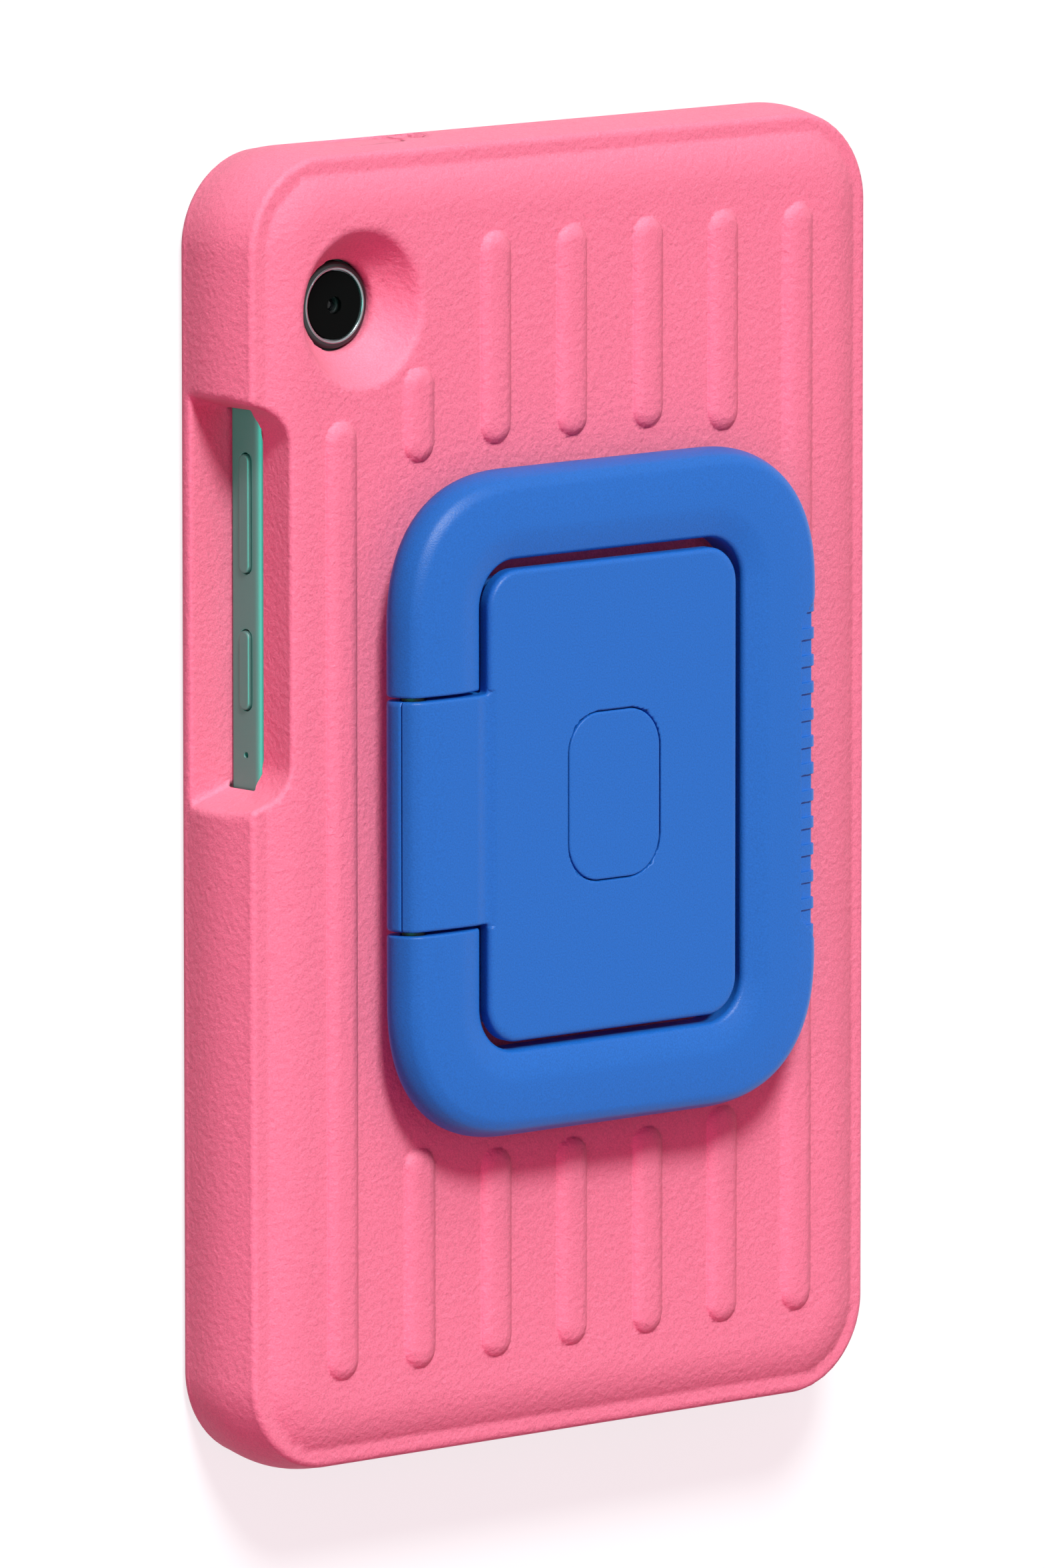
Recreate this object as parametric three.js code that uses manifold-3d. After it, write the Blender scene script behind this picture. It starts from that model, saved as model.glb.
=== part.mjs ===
// Moulded foam case for a small tablet, with a fold-out loop handle hinged on its back.
// Millimetres, +Z up. The case lies on its screen side: Z = 0 is the front rim, +Y points to
// the tablet's top edge, and +X is to the right when the back is looked at.
import * as THREE from "three";
import { mergeVertices } from "three/addons/utils/BufferGeometryUtils.js";
import Module from "manifold-3d";

const wasm = await Module();
wasm.setup();

// Driving dimensions
const seat = 0.3;                  // gap between pieces that lie against each other
const cornerSteps = 6;             // facets in a quarter turn of an outline

const tablet = { width: 124.7, height: 211, thickness: 8, corner: 10, backEdge: 1.8, rim: 1.2 };
const screenGlass = { thickness: 0.7 };
const display = { thickness: 0.8 };

const lip = { thickness: 4.1, overlap: 2.5, edge: 1.4 };       // front frame over the screen
const wall = { side: 8.65, back: 7.7, bulge: 1.1, corner: 16.5 };
const frontRound = 3;              // outer front edge of the case
const ledge = { width: 3.2, edge: 1.2 };                       // flat border of the back
const pillow = { rise: 2.1, blend: 9 };                        // raised middle of the back

const rib = { width: 7, height: 1.2, pitch: 17.64, edgeGap: 15.5, loopGap: 3.3 };
const dish = { rim: 14.4, hole: 8.5, neck: 3.2, ribGapBelow: 19, ribGapBeside: 11 };

const cutOut = { y: 37.2, length: 65.5, flare: 0.313, corner: 5, lean: 1.25, edge: 0.9 };
const topSlot = { x: -27.8, width: 5.5, height: 5.2, mouth: 8, mouthRise: 2.3 };
const topRecess = { x: -39, width: 14.9, height: 8, depth: 0.7, rise: 3.2 };
const portSlot = { width: 15, height: 7.4, flare: 1.4 };
const speakerSlot = { x: 33, width: 16, height: 4.6, flare: 0.8 };

const plate = { width: 57.6, height: 82.7, corner: 6.5, thickness: 2.9, edge: 1 };
const cap = { width: 21, height: 29.5, corner: 7, thickness: 1.4, gap: 0.25 };
const base = { inset: 2.3, wall: 2.4, floor: 2.5, corner: 5 };
const partingGap = 0.2;            // line between the base and its front cover

const loop = { thickness: 7.5, standoff: 3.9, corner: 26.4, squareness: 2.4, windowCorner: 8 };
const loopBand = { hinge: 17.5, free: 18.4, ends: 15.55 };
const loopGap = { hinge: 1.1, free: 2.2, ends: 1.6 };
const loopEdge = { lean: 1.8, rear: 1.8, shoulder: 4.8, crown: 0.3, crest: 9, dish: 5.3,
  dishDepth: 0.9, inner: 0.5 };
const grip = { length: 63.6, depth: 0.75, ridge: 2, ridgeRise: 0.35, count: 13, pitch: 4.8, step: 0.3 };

const hinge = { fromEdge: 4.2, knuckle: 40.2, gap: 0.65, edge: 0.5, groove: 1.5, grooveDepth: 0.5 };
const pin = { radius: 2, inKnuckle: 7.1, inArm: 7, fit: 0.2, chamfer: 0.4 };

const retainer = { width: 50, height: 72, thickness: 1.9, corner: 5 };
const caseScrew = { x: 17, y: 27, radius: 1.5, head: 3, length: 14, boss: 3.6 };
const coverScrew = { y: 8.5, radius: 1.2, head: 2.3, length: 6, boss: 3 };

// The camera's place on the tablet's back: from the left side and from the top edge
const camera = { fromSide: 14.65, fromTop: 17.9, front: 6.65, foot: 7.7, rise: 2.6, bezel: 0.5,
  recess: 0.25 };
const lens = { barrel: 2.05, element: 1.1, depth: 1.5 };
const volumeKey = { y: 52, length: 20.7 };
const powerKey = { y: 24.75, length: 13.8 };
const key = { height: 2.7, proud: 0.55, depth: 1.5, travel: 0.35, gap: 0.2 };
const micHole = { y: 9.95, radius: 0.5, depth: 1.5 };
const port = { width: 9, height: 3.2, depth: 6, shell: 0.3 };
const jack = { radius: 1.6, ring: 2.1, depth: 5, ringDepth: 0.9 };

// Heights and half sizes that follow from them
const screenZ = lip.thickness + seat;
const tabletBackZ = screenZ + tablet.thickness;
const cavityZ = tabletBackZ + seat;
const ledgeZ = cavityZ + wall.back;
const plateauZ = ledgeZ + pillow.rise;
const keyZ = screenZ + tablet.thickness * 0.475;
const sideZ = screenZ + tablet.thickness / 2;
const tabletX = tablet.width / 2;
const tabletY = tablet.height / 2;
const cameraX = -tabletX + camera.fromSide;
const cameraY = tabletY - camera.fromTop;
const caseX = tabletX + seat + wall.side;
const caseY = tabletY + seat + wall.side;

const loopRearZ = plateauZ + loop.standoff;
const loopTopZ = loopRearZ + loop.thickness;
const coverZ = loopTopZ - plate.thickness;
const baseTopZ = coverZ - partingGap;
const baseZ = plateauZ + seat;
const windowLeft = -plate.width / 2 - loopGap.hinge;
const windowRight = plate.width / 2 + loopGap.free;
const windowY = plate.height / 2 + loopGap.ends;
const loopLeft = windowLeft - loopBand.hinge;
const loopRight = windowRight + loopBand.free;
const loopY = windowY + loopBand.ends;
const knuckleY = hinge.knuckle / 2;
const hingeX = loopLeft + hinge.fromEdge;
const hingeZ = (loopRearZ + loopTopZ) / 2;

const colours = {
  foam: { color: 0xfc88a3, roughness: 0.75, metalness: 0 },
  plastic: { color: 0x3072c9, roughness: 0.55, metalness: 0 },
  inner: { color: 0x2a5fa8, roughness: 0.6, metalness: 0 },
  steel: { color: 0xa8abb0, roughness: 0.35, metalness: 1 },
  housing: { color: 0x626266, roughness: 0.45, metalness: 0.4 },
  bezel: { color: 0x8d8f92, roughness: 0.3, metalness: 0.9 },
  glass: { color: 0x08090b, roughness: 0.08, metalness: 0 },
  lensGlass: { color: 0x101418, roughness: 0.05, metalness: 0 },
};

// Outlines: lists of [x, y] that turn anticlockwise, and never repeat a point

// Quarter turns of a rounded rectangle. A squareness over 2 makes fuller corners than an arc.
function cornerArc(centreX, centreY, radius, quarter, squareness = 2, steps = cornerSteps) {
  const points = [];
  for (let i = 0; i <= steps; i += 1) {
    const turn = (Math.PI / 2) * (i / steps);
    const along = radius * Math.cos(turn) ** (2 / squareness);
    const across = radius * Math.sin(turn) ** (2 / squareness);
    const local = [[along, across], [-across, along], [-along, -across], [across, -along]][quarter];
    points.push([centreX + local[0], centreY + local[1]]);
  }
  return points;
}

function roundedOutline(halfX, halfY, radius, centreX = 0, centreY = 0, steps = cornerSteps) {
  const r = Math.min(radius, halfX - 0.01, halfY - 0.01);
  const right = centreX + halfX - r;
  const left = centreX - halfX + r;
  const top = centreY + halfY - r;
  const bottom = centreY - halfY + r;
  return [
    ...cornerArc(right, top, r, 0, 2, steps),
    ...cornerArc(left, top, r, 1, 2, steps),
    ...cornerArc(left, bottom, r, 2, 2, steps),
    ...cornerArc(right, bottom, r, 3, 2, steps),
  ];
}

// Solids

function meshFrom(points, faces) {
  const flat = new Float32Array(points.flat());
  const geometry = new THREE.BufferGeometry();
  geometry.setAttribute("position", new THREE.BufferAttribute(flat, 3));
  geometry.setIndex(faces.flat());
  return faceOutwards(geometry);
}

// Turns every face over if the closed surface has its faces pointing in.
function faceOutwards(geometry) {
  const position = geometry.getAttribute("position");
  const index = geometry.getIndex().array;
  const corner = [new THREE.Vector3(), new THREE.Vector3(), new THREE.Vector3()];
  let volume = 0;
  for (let i = 0; i < index.length; i += 3) {
    corner.forEach((point, k) => point.fromBufferAttribute(position, index[i + k]));
    volume += corner[0].dot(corner[1].clone().cross(corner[2]));
  }
  if (volume < 0) {
    for (let i = 0; i < index.length; i += 3) {
      [index[i], index[i + 1]] = [index[i + 1], index[i]];
    }
  }
  return geometry;
}

// Joins rings of equally many [x, y, z] points into a skin, and closes both ends.
function skin(rings) {
  const count = rings[0].length;
  const faces = [];
  for (let ring = 0; ring < rings.length - 1; ring += 1) {
    for (let i = 0; i < count; i += 1) {
      const next = (i + 1) % count;
      const a = ring * count + i;
      const b = ring * count + next;
      faces.push([a, b, b + count], [a, b + count, a + count]);
    }
  }
  const endCap = (ring, reversed) => {
    const flat = flattened(rings[ring]);
    for (const [a, b, c] of THREE.ShapeUtils.triangulateShape(flat, [])) {
      const start = ring * count;
      faces.push(reversed ? [start + c, start + b, start + a] : [start + a, start + b, start + c]);
    }
  };
  const turnsLeft = THREE.ShapeUtils.area(flattened(rings[0])) > 0;
  endCap(0, turnsLeft);
  endCap(rings.length - 1, !turnsLeft);
  return meshFrom(rings.flat(), faces);
}

// The ring's points in its own plane, seen along its smallest extent.
function flattened(ring) {
  const size = [0, 1, 2].map((axis) => {
    const values = ring.map((point) => point[axis]);
    return Math.max(...values) - Math.min(...values);
  });
  const drop = size.indexOf(Math.min(...size));
  const [u, v] = [0, 1, 2].filter((axis) => axis !== drop);
  return ring.map((point) => new THREE.Vector2(point[u], point[v]));
}

// A solid through outlines at rising heights: each level is [outline, z].
function loft(levels) {
  return skin(levels.map(([outline, z]) => outline.map(([x, y]) => [x, y, z])));
}

function turned(profile, segments = 24) {
  const points = profile.map(([radius, height]) => new THREE.Vector2(radius, height));
  const geometry = new THREE.LatheGeometry(points, segments);
  geometry.deleteAttribute("uv");
  geometry.deleteAttribute("normal");
  const merged = mergeVertices(geometry, 1e-4);
  merged.setIndex(withoutSlivers(merged.getIndex().array));
  merged.rotateX(Math.PI / 2);
  return faceOutwards(merged);
}

function withoutSlivers(index) {
  const kept = [];
  for (let i = 0; i < index.length; i += 3) {
    const [a, b, c] = [index[i], index[i + 1], index[i + 2]];
    if (a !== b && b !== c && c !== a) {
      kept.push(a, b, c);
    }
  }
  return kept;
}

function solid(geometry) {
  const plain = geometry.clone();
  plain.deleteAttribute("normal");
  plain.deleteAttribute("uv");
  const merged = mergeVertices(plain, 1e-4);
  return new wasm.Manifold(new wasm.Mesh({
    numProp: 3,
    vertProperties: new Float32Array(merged.getAttribute("position").array),
    triVerts: new Uint32Array(withoutSlivers(merged.getIndex().array)),
  }));
}

function geometryOf(body) {
  const mesh = body.getMesh();
  const geometry = new THREE.BufferGeometry();
  geometry.setAttribute("position", new THREE.BufferAttribute(mesh.vertProperties, 3));
  geometry.setIndex(new THREE.BufferAttribute(mesh.triVerts, 1));
  return geometry;
}

function cutFrom(geometry, cutters) {
  return geometryOf(cutters.reduce((body, cutter) => body.subtract(solid(cutter)), solid(geometry)));
}

function joined(geometries) {
  return geometryOf(geometries.slice(1).reduce((body, next) => body.add(solid(next)),
    solid(geometries[0])));
}

// A straight round bar along +Z, moved to its place.
function bar(radius, from, to, x, y, segments = 12) {
  const geometry = turned([[0, from], [radius, from], [radius, to], [0, to]], segments);
  return geometry.translate(x, y, 0);
}

const root = new THREE.Group();

function addPiece(name, geometry, look, place = [0, 0, 0]) {
  const mesh = new THREE.Mesh(geometry, new THREE.MeshStandardMaterial(colours[look]));
  mesh.name = name;
  mesh.position.set(...place);
  root.add(mesh);
  return mesh;
}

// Case

function caseOutline(inset) {
  const radius = Math.max(wall.corner - inset, 3);
  return roundedOutline(caseX - inset, caseY - inset, radius);
}

// Levels of the outer skin, from the front rim up the bulged side to the flat of the back.
function caseSkinLevels() {
  const levels = [];
  const sideTop = ledgeZ - ledge.edge;
  for (const turn of [0, 30, 60]) {
    const angle = THREE.MathUtils.degToRad(turn);
    const inset = frontRound * (1 - Math.sin(angle));
    levels.push([caseOutline(inset), frontRound * (1 - Math.cos(angle))]);
  }
  const sideSteps = 4;
  for (let i = 0; i <= sideSteps; i += 1) {
    const share = i / sideSteps;
    const height = frontRound + (sideTop - frontRound) * share;
    levels.push([caseOutline(-wall.bulge * Math.sin(Math.PI * share)), height]);
  }
  levels.push([caseOutline(ledge.edge * 0.3), ledgeZ - ledge.edge * 0.3]);
  levels.push([caseOutline(ledge.edge), ledgeZ]);
  levels.push([caseOutline(ledge.width - 0.3), ledgeZ]);
  for (const turn of [3, 25, 48, 70, 90]) {
    const angle = THREE.MathUtils.degToRad(turn);
    const inset = ledge.width + pillow.blend * (1 - Math.cos(angle));
    levels.push([caseOutline(inset), ledgeZ + pillow.rise * Math.sin(angle)]);
  }
  return levels;
}

// The tray that takes the tablet: its screen window, the lip's edge and the tablet's room.
function cavityLevels() {
  const roomX = tabletX + seat;
  const roomY = tabletY + seat;
  const windowX = tabletX - lip.overlap;
  const windowHalfY = tabletY - lip.overlap;
  const windowCorner = tablet.corner - lip.overlap;
  return [
    [roundedOutline(windowX + lip.edge + 1, windowHalfY + lip.edge + 1, windowCorner + lip.edge + 1), -1],
    [roundedOutline(windowX + lip.edge, windowHalfY + lip.edge, windowCorner + lip.edge), 0],
    [roundedOutline(windowX + lip.edge * 0.3, windowHalfY + lip.edge * 0.3, windowCorner + lip.edge * 0.3),
      lip.edge * 0.5],
    [roundedOutline(windowX, windowHalfY, windowCorner), lip.edge * 1.6],
    [roundedOutline(windowX, windowHalfY, windowCorner), lip.thickness],
    [roundedOutline(roomX, roomY, tablet.corner + seat), lip.thickness],
    [roundedOutline(roomX, roomY, tablet.corner + seat), cavityZ],
  ];
}

function stadium(width, from, to, inset) {
  const radius = width / 2 - inset;
  return roundedOutline(radius + 0.01, (to - from) / 2 - inset, radius, 0, (from + to) / 2, 3);
}

// One raised rib with a domed top and round ends, along Y.
function ribSolid(column, from, to) {
  const rises = [[0, -0.5], [0, 0.2], [0.8, 0.75], [2.4, 1]];
  const levels = rises.map(([inset, share]) => [
    stadium(rib.width, from, to, inset),
    plateauZ + rib.height * share,
  ]);
  return loft(levels).translate(column * rib.pitch, 0, 0);
}

// Half height of the loop's outline at a distance from its middle line.
function loopEdgeY(x) {
  const straight = loopRight - loop.corner;
  const share = Math.max((Math.abs(x) - straight) / loop.corner, 0);
  const n = loop.squareness;
  return loopY - loop.corner + loop.corner * (1 - Math.min(share, 1) ** n) ** (1 / n);
}

// Ribs run the height of the back, and stop short of the folded loop and the camera dish.
function ribSolids() {
  const outer = caseY - rib.edgeGap;
  const dishColumn = Math.round(cameraX / rib.pitch);
  const solids = [
    ribSolid(dishColumn, -outer, cameraY - dish.ribGapBelow),
    ribSolid(-dishColumn, -outer, outer),
  ];
  for (let column = dishColumn + 1; column < -dishColumn; column += 1) {
    const inner = loopEdgeY(column * rib.pitch) + rib.loopGap;
    const top = column === dishColumn + 1 ? cameraY - dish.ribGapBeside : outer;
    solids.push(ribSolid(column, inner, top), ribSolid(column, -outer, -inner));
  }
  return solids;
}

// A bowl that funnels down to the round hole in front of the tablet's camera.
function dishCutter() {
  const top = plateauZ + rib.height + 1;
  const neckZ = cavityZ + dish.neck;
  const depth = plateauZ - neckZ;
  const drop = dish.rim - dish.hole;
  const profile = [[0, cavityZ - 1], [dish.hole, cavityZ - 1], [dish.hole, neckZ]];
  for (const [reach, rise] of [[0.22, 0.1], [0.48, 0.34], [0.68, 0.58], [0.84, 0.8], [0.93, 0.94]]) {
    profile.push([dish.hole + drop * reach, neckZ + depth * rise]);
  }
  profile.push([dish.rim, plateauZ], [dish.rim + 0.8, top], [0, top]);
  return turned(profile, 28).translate(cameraX, cameraY, 0);
}

// The notch in the left side that bares the tablet's keys. Its ends splay outwards.
function cutOutOutline(innerX, grow) {
  const outerX = -caseX - wall.bulge - 12;
  const halfInner = cutOut.length / 2 + grow - cutOut.flare * Math.max(innerX + tabletX, 0);
  const halfOuter = halfInner + cutOut.flare * (innerX - outerX);
  const r = cutOut.corner;
  return [
    [outerX, cutOut.y - halfOuter],
    ...cornerArc(innerX - r, cutOut.y - halfInner + r, r, 3, 2, 5),
    ...cornerArc(innerX - r, cutOut.y + halfInner - r, r, 0, 2, 5),
    [outerX, cutOut.y + halfOuter],
  ];
}

function cutOutCutter() {
  const faceX = -tabletX;
  const roomX = faceX + cutOut.corner;
  const topX = faceX - cutOut.lean;
  const edge = cutOut.edge;
  return loft([
    [cutOutOutline(roomX, 0), lip.thickness],
    [cutOutOutline(roomX, 0), cavityZ - seat],
    [cutOutOutline(faceX, 0), cavityZ],
    [cutOutOutline(topX, 0), ledgeZ],
    [cutOutOutline(topX + edge * 0.4, edge * 0.4), plateauZ - edge * 0.7],
    [cutOutOutline(topX + edge, edge), plateauZ],
    [cutOutOutline(topX + edge * 3, edge * 3), plateauZ + edge * 2],
  ]);
}

// A slot through the top or bottom wall: inner and outer [width, height, z].
function endSlot(side, x, inner, outer) {
  const from = tabletY + seat / 2;
  const to = caseY + wall.bulge + 2;
  const ring = ([width, height, z], reach) => {
    const outline = roundedOutline(width / 2, height / 2, height / 2, x, z, 4);
    return outline.map(([u, v]) => [u, side * reach, v]);
  };
  return skin([ring(inner, from), ring(outer, to)]);
}

function topRecessCutter() {
  const z = sideZ + topRecess.rise;
  const floor = caseY + wall.bulge - topRecess.depth;
  const ring = (grow, reach) => roundedOutline(topRecess.width / 2 + grow,
    topRecess.height / 2 + grow, 2.5 + grow, topRecess.x, z, 3).map(([u, v]) => [u, reach, v]);
  return skin([ring(-0.4, floor), ring(1.2, floor + 3)]);
}

function retainerPocket() {
  const outline = roundedOutline(retainer.width / 2 + seat, retainer.height / 2 + seat,
    retainer.corner + seat);
  return loft([[outline, cavityZ - 1], [outline, retainerTopZ() + seat]]);
}

function retainerTopZ() {
  return cavityZ + 0.2 + retainer.thickness;
}

function screwPlaces() {
  return [[-1, 1], [1, 1], [-1, -1], [1, -1]].map(([i, j]) => [i * caseScrew.x, j * caseScrew.y]);
}

function caseShell() {
  const body = joined([loft(caseSkinLevels()), ...ribSolids()]);
  const cutters = [
    loft(cavityLevels()),
    dishCutter(),
    cutOutCutter(),
    endSlot(1, topSlot.x, [topSlot.width, topSlot.height, sideZ],
      [topSlot.width + 0.6, topSlot.mouth, sideZ + topSlot.mouthRise]),
    topRecessCutter(),
    endSlot(-1, 0, [portSlot.width, portSlot.height, sideZ],
      [portSlot.width + 2 * portSlot.flare, portSlot.height + 2 * portSlot.flare, sideZ]),
    retainerPocket(),
  ];
  for (const side of [-1, 1]) {
    cutters.push(endSlot(-1, side * speakerSlot.x, [speakerSlot.width, speakerSlot.height, sideZ],
      [speakerSlot.width + speakerSlot.flare, speakerSlot.height + speakerSlot.flare, sideZ]));
  }
  for (const [x, y] of screwPlaces()) {
    cutters.push(bar(caseScrew.radius + seat, cavityZ, plateauZ + 1, x, y));
  }
  return cutFrom(body, cutters);
}

// Loop handle

// Section of the band. Each point is [distance in, depth below the top, from the inner edge?].
// The outer side leans in to an edge, the face is domed, and it slopes down to the window inside a
// crease. The first six points are the outer side and shoulder.
function bandSection() {
  const { lean, rear, shoulder, crown, dish: dishWidth, dishDepth, inner } = loopEdge;
  const t = loop.thickness;
  return [
    [rear, t, false],
    [rear * 0.3, t - rear * 0.3, false],
    [0, t * 0.75, false],
    [lean * 0.35, t * 0.42, false],
    [lean, 2 * crown, false],
    [shoulder, crown, false],
    [shoulder + grip.step, crown, false],
    [dishWidth, 0, true],
    [inner, dishDepth, true],
    [0, dishDepth + inner, true],
    [0, t - 0.8, true],
    [0.8, t, true],
  ];
}

// How far the grip's floor or a ridge lies in from the band's outer edge, by height on it.
function gripStations() {
  const flank = 0.25;
  const end = grip.length / 2;
  const stations = [[-end, 0], [-end + grip.depth, grip.depth]];
  for (let i = 0; i < grip.count; i += 1) {
    const y = (i - (grip.count - 1) / 2) * grip.pitch;
    const crest = grip.depth - grip.ridgeRise;
    stations.push([y - grip.ridge / 2, grip.depth], [y - grip.ridge / 2 + flank, crest]);
    stations.push([y + grip.ridge / 2 - flank, crest], [y + grip.ridge / 2, grip.depth]);
  }
  stations.push([end - grip.depth, grip.depth], [end, 0]);
  return stations;
}

// Ring of section points between an outer and an inner outline point. The grip's recess starts
// from a slanted wall at each end, so it reaches the front face later than the outer side.
function bandRing([outerX, outerY], [innerX, innerY], recess, shrink = 0) {
  const across = new THREE.Vector2(innerX - outerX, innerY - outerY);
  const width = across.length();
  across.normalize();
  const shares = [0.25, 0.6, 1, 1, 0.8, 0.25];
  const pastWall = grip.length / 2 - Math.abs(outerY);
  const ring = bandSection().map(([inward, depth, fromInner], i) => {
    const deep = i < shares.length ? Math.min(Math.max(pastWall - inward, 0), recess) : 0;
    const cut = deep > 0 ? deep * shares[i] : 0;
    const sunk = i === shares.length - 1 ? Math.max(deep + grip.ridgeRise - grip.depth, 0) : 0;
    const distance = fromInner ? width - inward : inward + cut;
    return [outerX + across.x * distance, outerY + across.y * distance, loopTopZ - depth - sunk];
  });
  const centre = [0, 1, 2].map((axis) => ring.reduce((sum, p) => sum + p[axis], 0) / ring.length);
  return ring.map((point) => {
    const reach = Math.hypot(...point.map((value, axis) => value - centre[axis]));
    return point.map((value, axis) => value + (centre[axis] - value) * (shrink / reach));
  });
}

// The C-shaped loop, from the upper arm's end round to the lower arm's end.
function loopSolid() {
  const armEnd = knuckleY + hinge.gap;
  const rings = [];
  const add = (outer, inner, recess = 0, shrink = 0) => {
    rings.push(bandRing(outer, inner, recess, shrink));
  };
  const corner = (quarter, signX, signY) => {
    const outerCentre = [signX < 0 ? loopLeft + loop.corner : loopRight - loop.corner,
      signY * (loopY - loop.corner)];
    const innerCentre = [signX < 0 ? windowLeft + loop.windowCorner : windowRight - loop.windowCorner,
      signY * (windowY - loop.windowCorner)];
    const outer = cornerArc(...outerCentre, loop.corner, quarter, loop.squareness).reverse();
    const inner = cornerArc(...innerCentre, loop.windowCorner, quarter).reverse();
    outer.forEach((point, i) => add(point, inner[i]));
  };
  add([loopLeft, armEnd], [windowLeft, armEnd], 0, hinge.edge);
  add([loopLeft, armEnd + hinge.edge], [windowLeft, armEnd + hinge.edge]);
  corner(1, -1, 1);
  corner(0, 1, 1);
  for (const [y, recess] of gripStations().reverse()) {
    add([loopRight, y], [windowRight, y], recess);
  }
  corner(3, 1, -1);
  corner(2, -1, -1);
  add([loopLeft, -armEnd - hinge.edge], [windowLeft, -armEnd - hinge.edge]);
  add([loopLeft, -armEnd], [windowLeft, -armEnd], 0, hinge.edge);
  return cutFrom(skin(rings), [pinBore(1), pinBore(-1)]);
}

// Hinge

function pinSpan() {
  return [knuckleY - pin.inKnuckle, knuckleY + hinge.gap + pin.inArm];
}

function alongY(geometry, side) {
  return geometry.rotateX(-side * Math.PI / 2).translate(hingeX, 0, hingeZ);
}

function pinBore(side) {
  const [from, to] = pinSpan();
  return alongY(bar(pin.radius + pin.fit, from - seat, to + seat, 0, 0), side);
}

function hingePin(side) {
  const [from, to] = pinSpan();
  const { radius, chamfer } = pin;
  const profile = [[0, from], [radius - chamfer, from], [radius, from + chamfer],
    [radius, to - chamfer], [radius - chamfer, to], [0, to]];
  return alongY(turned(profile, 16), side);
}

// The hinge barrel that stands out from the base between the loop's arms. Its section has the
// loop's outer side; parts of it between two heights are made for the base and the cover.
function knuckleSolid(zFrom, zTo, reachX) {
  const side = [...bandSection().slice(0, 6), [loopEdge.crest, 0]]
    .map(([inward, depth]) => [inward, loopTopZ - depth]);
  const inside = side.filter(([, z]) => z > zFrom && z < zTo);
  const at = (z) => {
    const k = Math.max(side.findIndex((point) => point[1] >= z), 1);
    const [low, high] = [side[k - 1], side[k]];
    return low[0] + (high[0] - low[0]) * ((z - low[1]) / (high[1] - low[1]));
  };
  const outline = [[at(zFrom), zFrom], ...inside, [at(zTo), zTo]];
  const ring = (y, shrink) => {
    const points = outline.map(([inward, z], i) => {
      const last = i === outline.length - 1;
      const lift = (i === 0 && zFrom === loopRearZ) || (last && zTo === loopTopZ) ? shrink : 0;
      return [loopLeft + inward + shrink, y, i === 0 ? z + lift : z - lift];
    });
    const top = zTo === loopTopZ ? zTo - shrink : zTo;
    const bottom = zFrom === loopRearZ ? zFrom + shrink : zFrom;
    return [...points, [reachX, y, top], [reachX, y, bottom]];
  };
  const inner = knuckleY - hinge.edge;
  return skin([ring(-knuckleY, hinge.edge), ring(-inner, 0), ring(inner, 0),
    ring(knuckleY, hinge.edge)]);
}

// Base that carries the hinge, screwed to the back of the case

function handleBase() {
  const halfX = plate.width / 2 - base.inset;
  const halfY = plate.height / 2 - base.inset;
  const blockLevels = [
    [roundedOutline(halfX - 0.5, halfY - 0.5, base.corner, 0, 0, 5), baseZ],
    [roundedOutline(halfX, halfY, base.corner, 0, 0, 5), baseZ + 0.5],
    [roundedOutline(halfX, halfY, base.corner, 0, 0, 5), baseTopZ],
  ];
  const inner = roundedOutline(halfX - base.wall, halfY - base.wall, base.corner - 1, 0, 0, 5);
  const floorZ = baseZ + base.floor;
  const tray = cutFrom(loft(blockLevels), [loft([[inner, floorZ], [inner, baseTopZ + 1]])]);
  const bosses = screwPlaces().map(([x, y]) => bar(caseScrew.boss, floorZ - 0.5, floorZ + 3, x, y));
  for (const side of [-1, 1]) {
    bosses.push(bar(coverScrew.boss, floorZ - 0.5, baseTopZ, 0, side * coverScrew.y));
  }
  const body = joined([tray, knuckleSolid(loopRearZ, baseTopZ, -halfX + base.wall / 2), ...bosses]);
  const cutters = [pinBore(1), pinBore(-1)];
  for (const [x, y] of screwPlaces()) {
    cutters.push(bar(caseScrew.radius + pin.fit, baseZ - 1, screwTipZ() + seat, x, y));
  }
  for (const side of [-1, 1]) {
    cutters.push(bar(coverScrew.radius + pin.fit, coverScrewTipZ() - seat, baseTopZ + 1, 0,
      side * coverScrew.y));
  }
  return cutFrom(body, cutters);
}

function handleCover() {
  const halfX = plate.width / 2;
  const halfY = plate.height / 2;
  const rim = plate.edge;
  const levels = [[0.3, coverZ], [0, coverZ + 0.3], [0, loopTopZ - rim], [rim * 0.3, loopTopZ - rim * 0.3],
    [rim, loopTopZ]].map(([inset, z]) => [
    roundedOutline(halfX - inset, halfY - inset, plate.corner - inset), z]);
  const body = joined([loft(levels), knuckleSolid(coverZ, loopTopZ, -halfX + plate.edge + 2)]);
  const cutters = [pinBore(1), pinBore(-1), hingeGroove(), capPocket()];
  for (const side of [-1, 1]) {
    cutters.push(coverScrewSolid(side, cap.gap));
  }
  return cutFrom(body, cutters);
}

// The shallow valley between the barrel and the plate.
function hingeGroove() {
  const centre = -plate.width / 2 - hinge.groove;
  const ring = (y) => [
    [centre - hinge.groove, y, loopTopZ + 1],
    [centre - hinge.groove / 2, y, loopTopZ],
    [centre + hinge.groove / 4, y, loopTopZ - hinge.grooveDepth],
    [centre + hinge.groove / 2, y, loopTopZ - hinge.grooveDepth],
    [centre + hinge.groove, y, loopTopZ],
    [centre + hinge.groove, y, loopTopZ + 1],
  ];
  return skin([ring(-knuckleY - 1), ring(knuckleY + 1)]);
}

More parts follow.
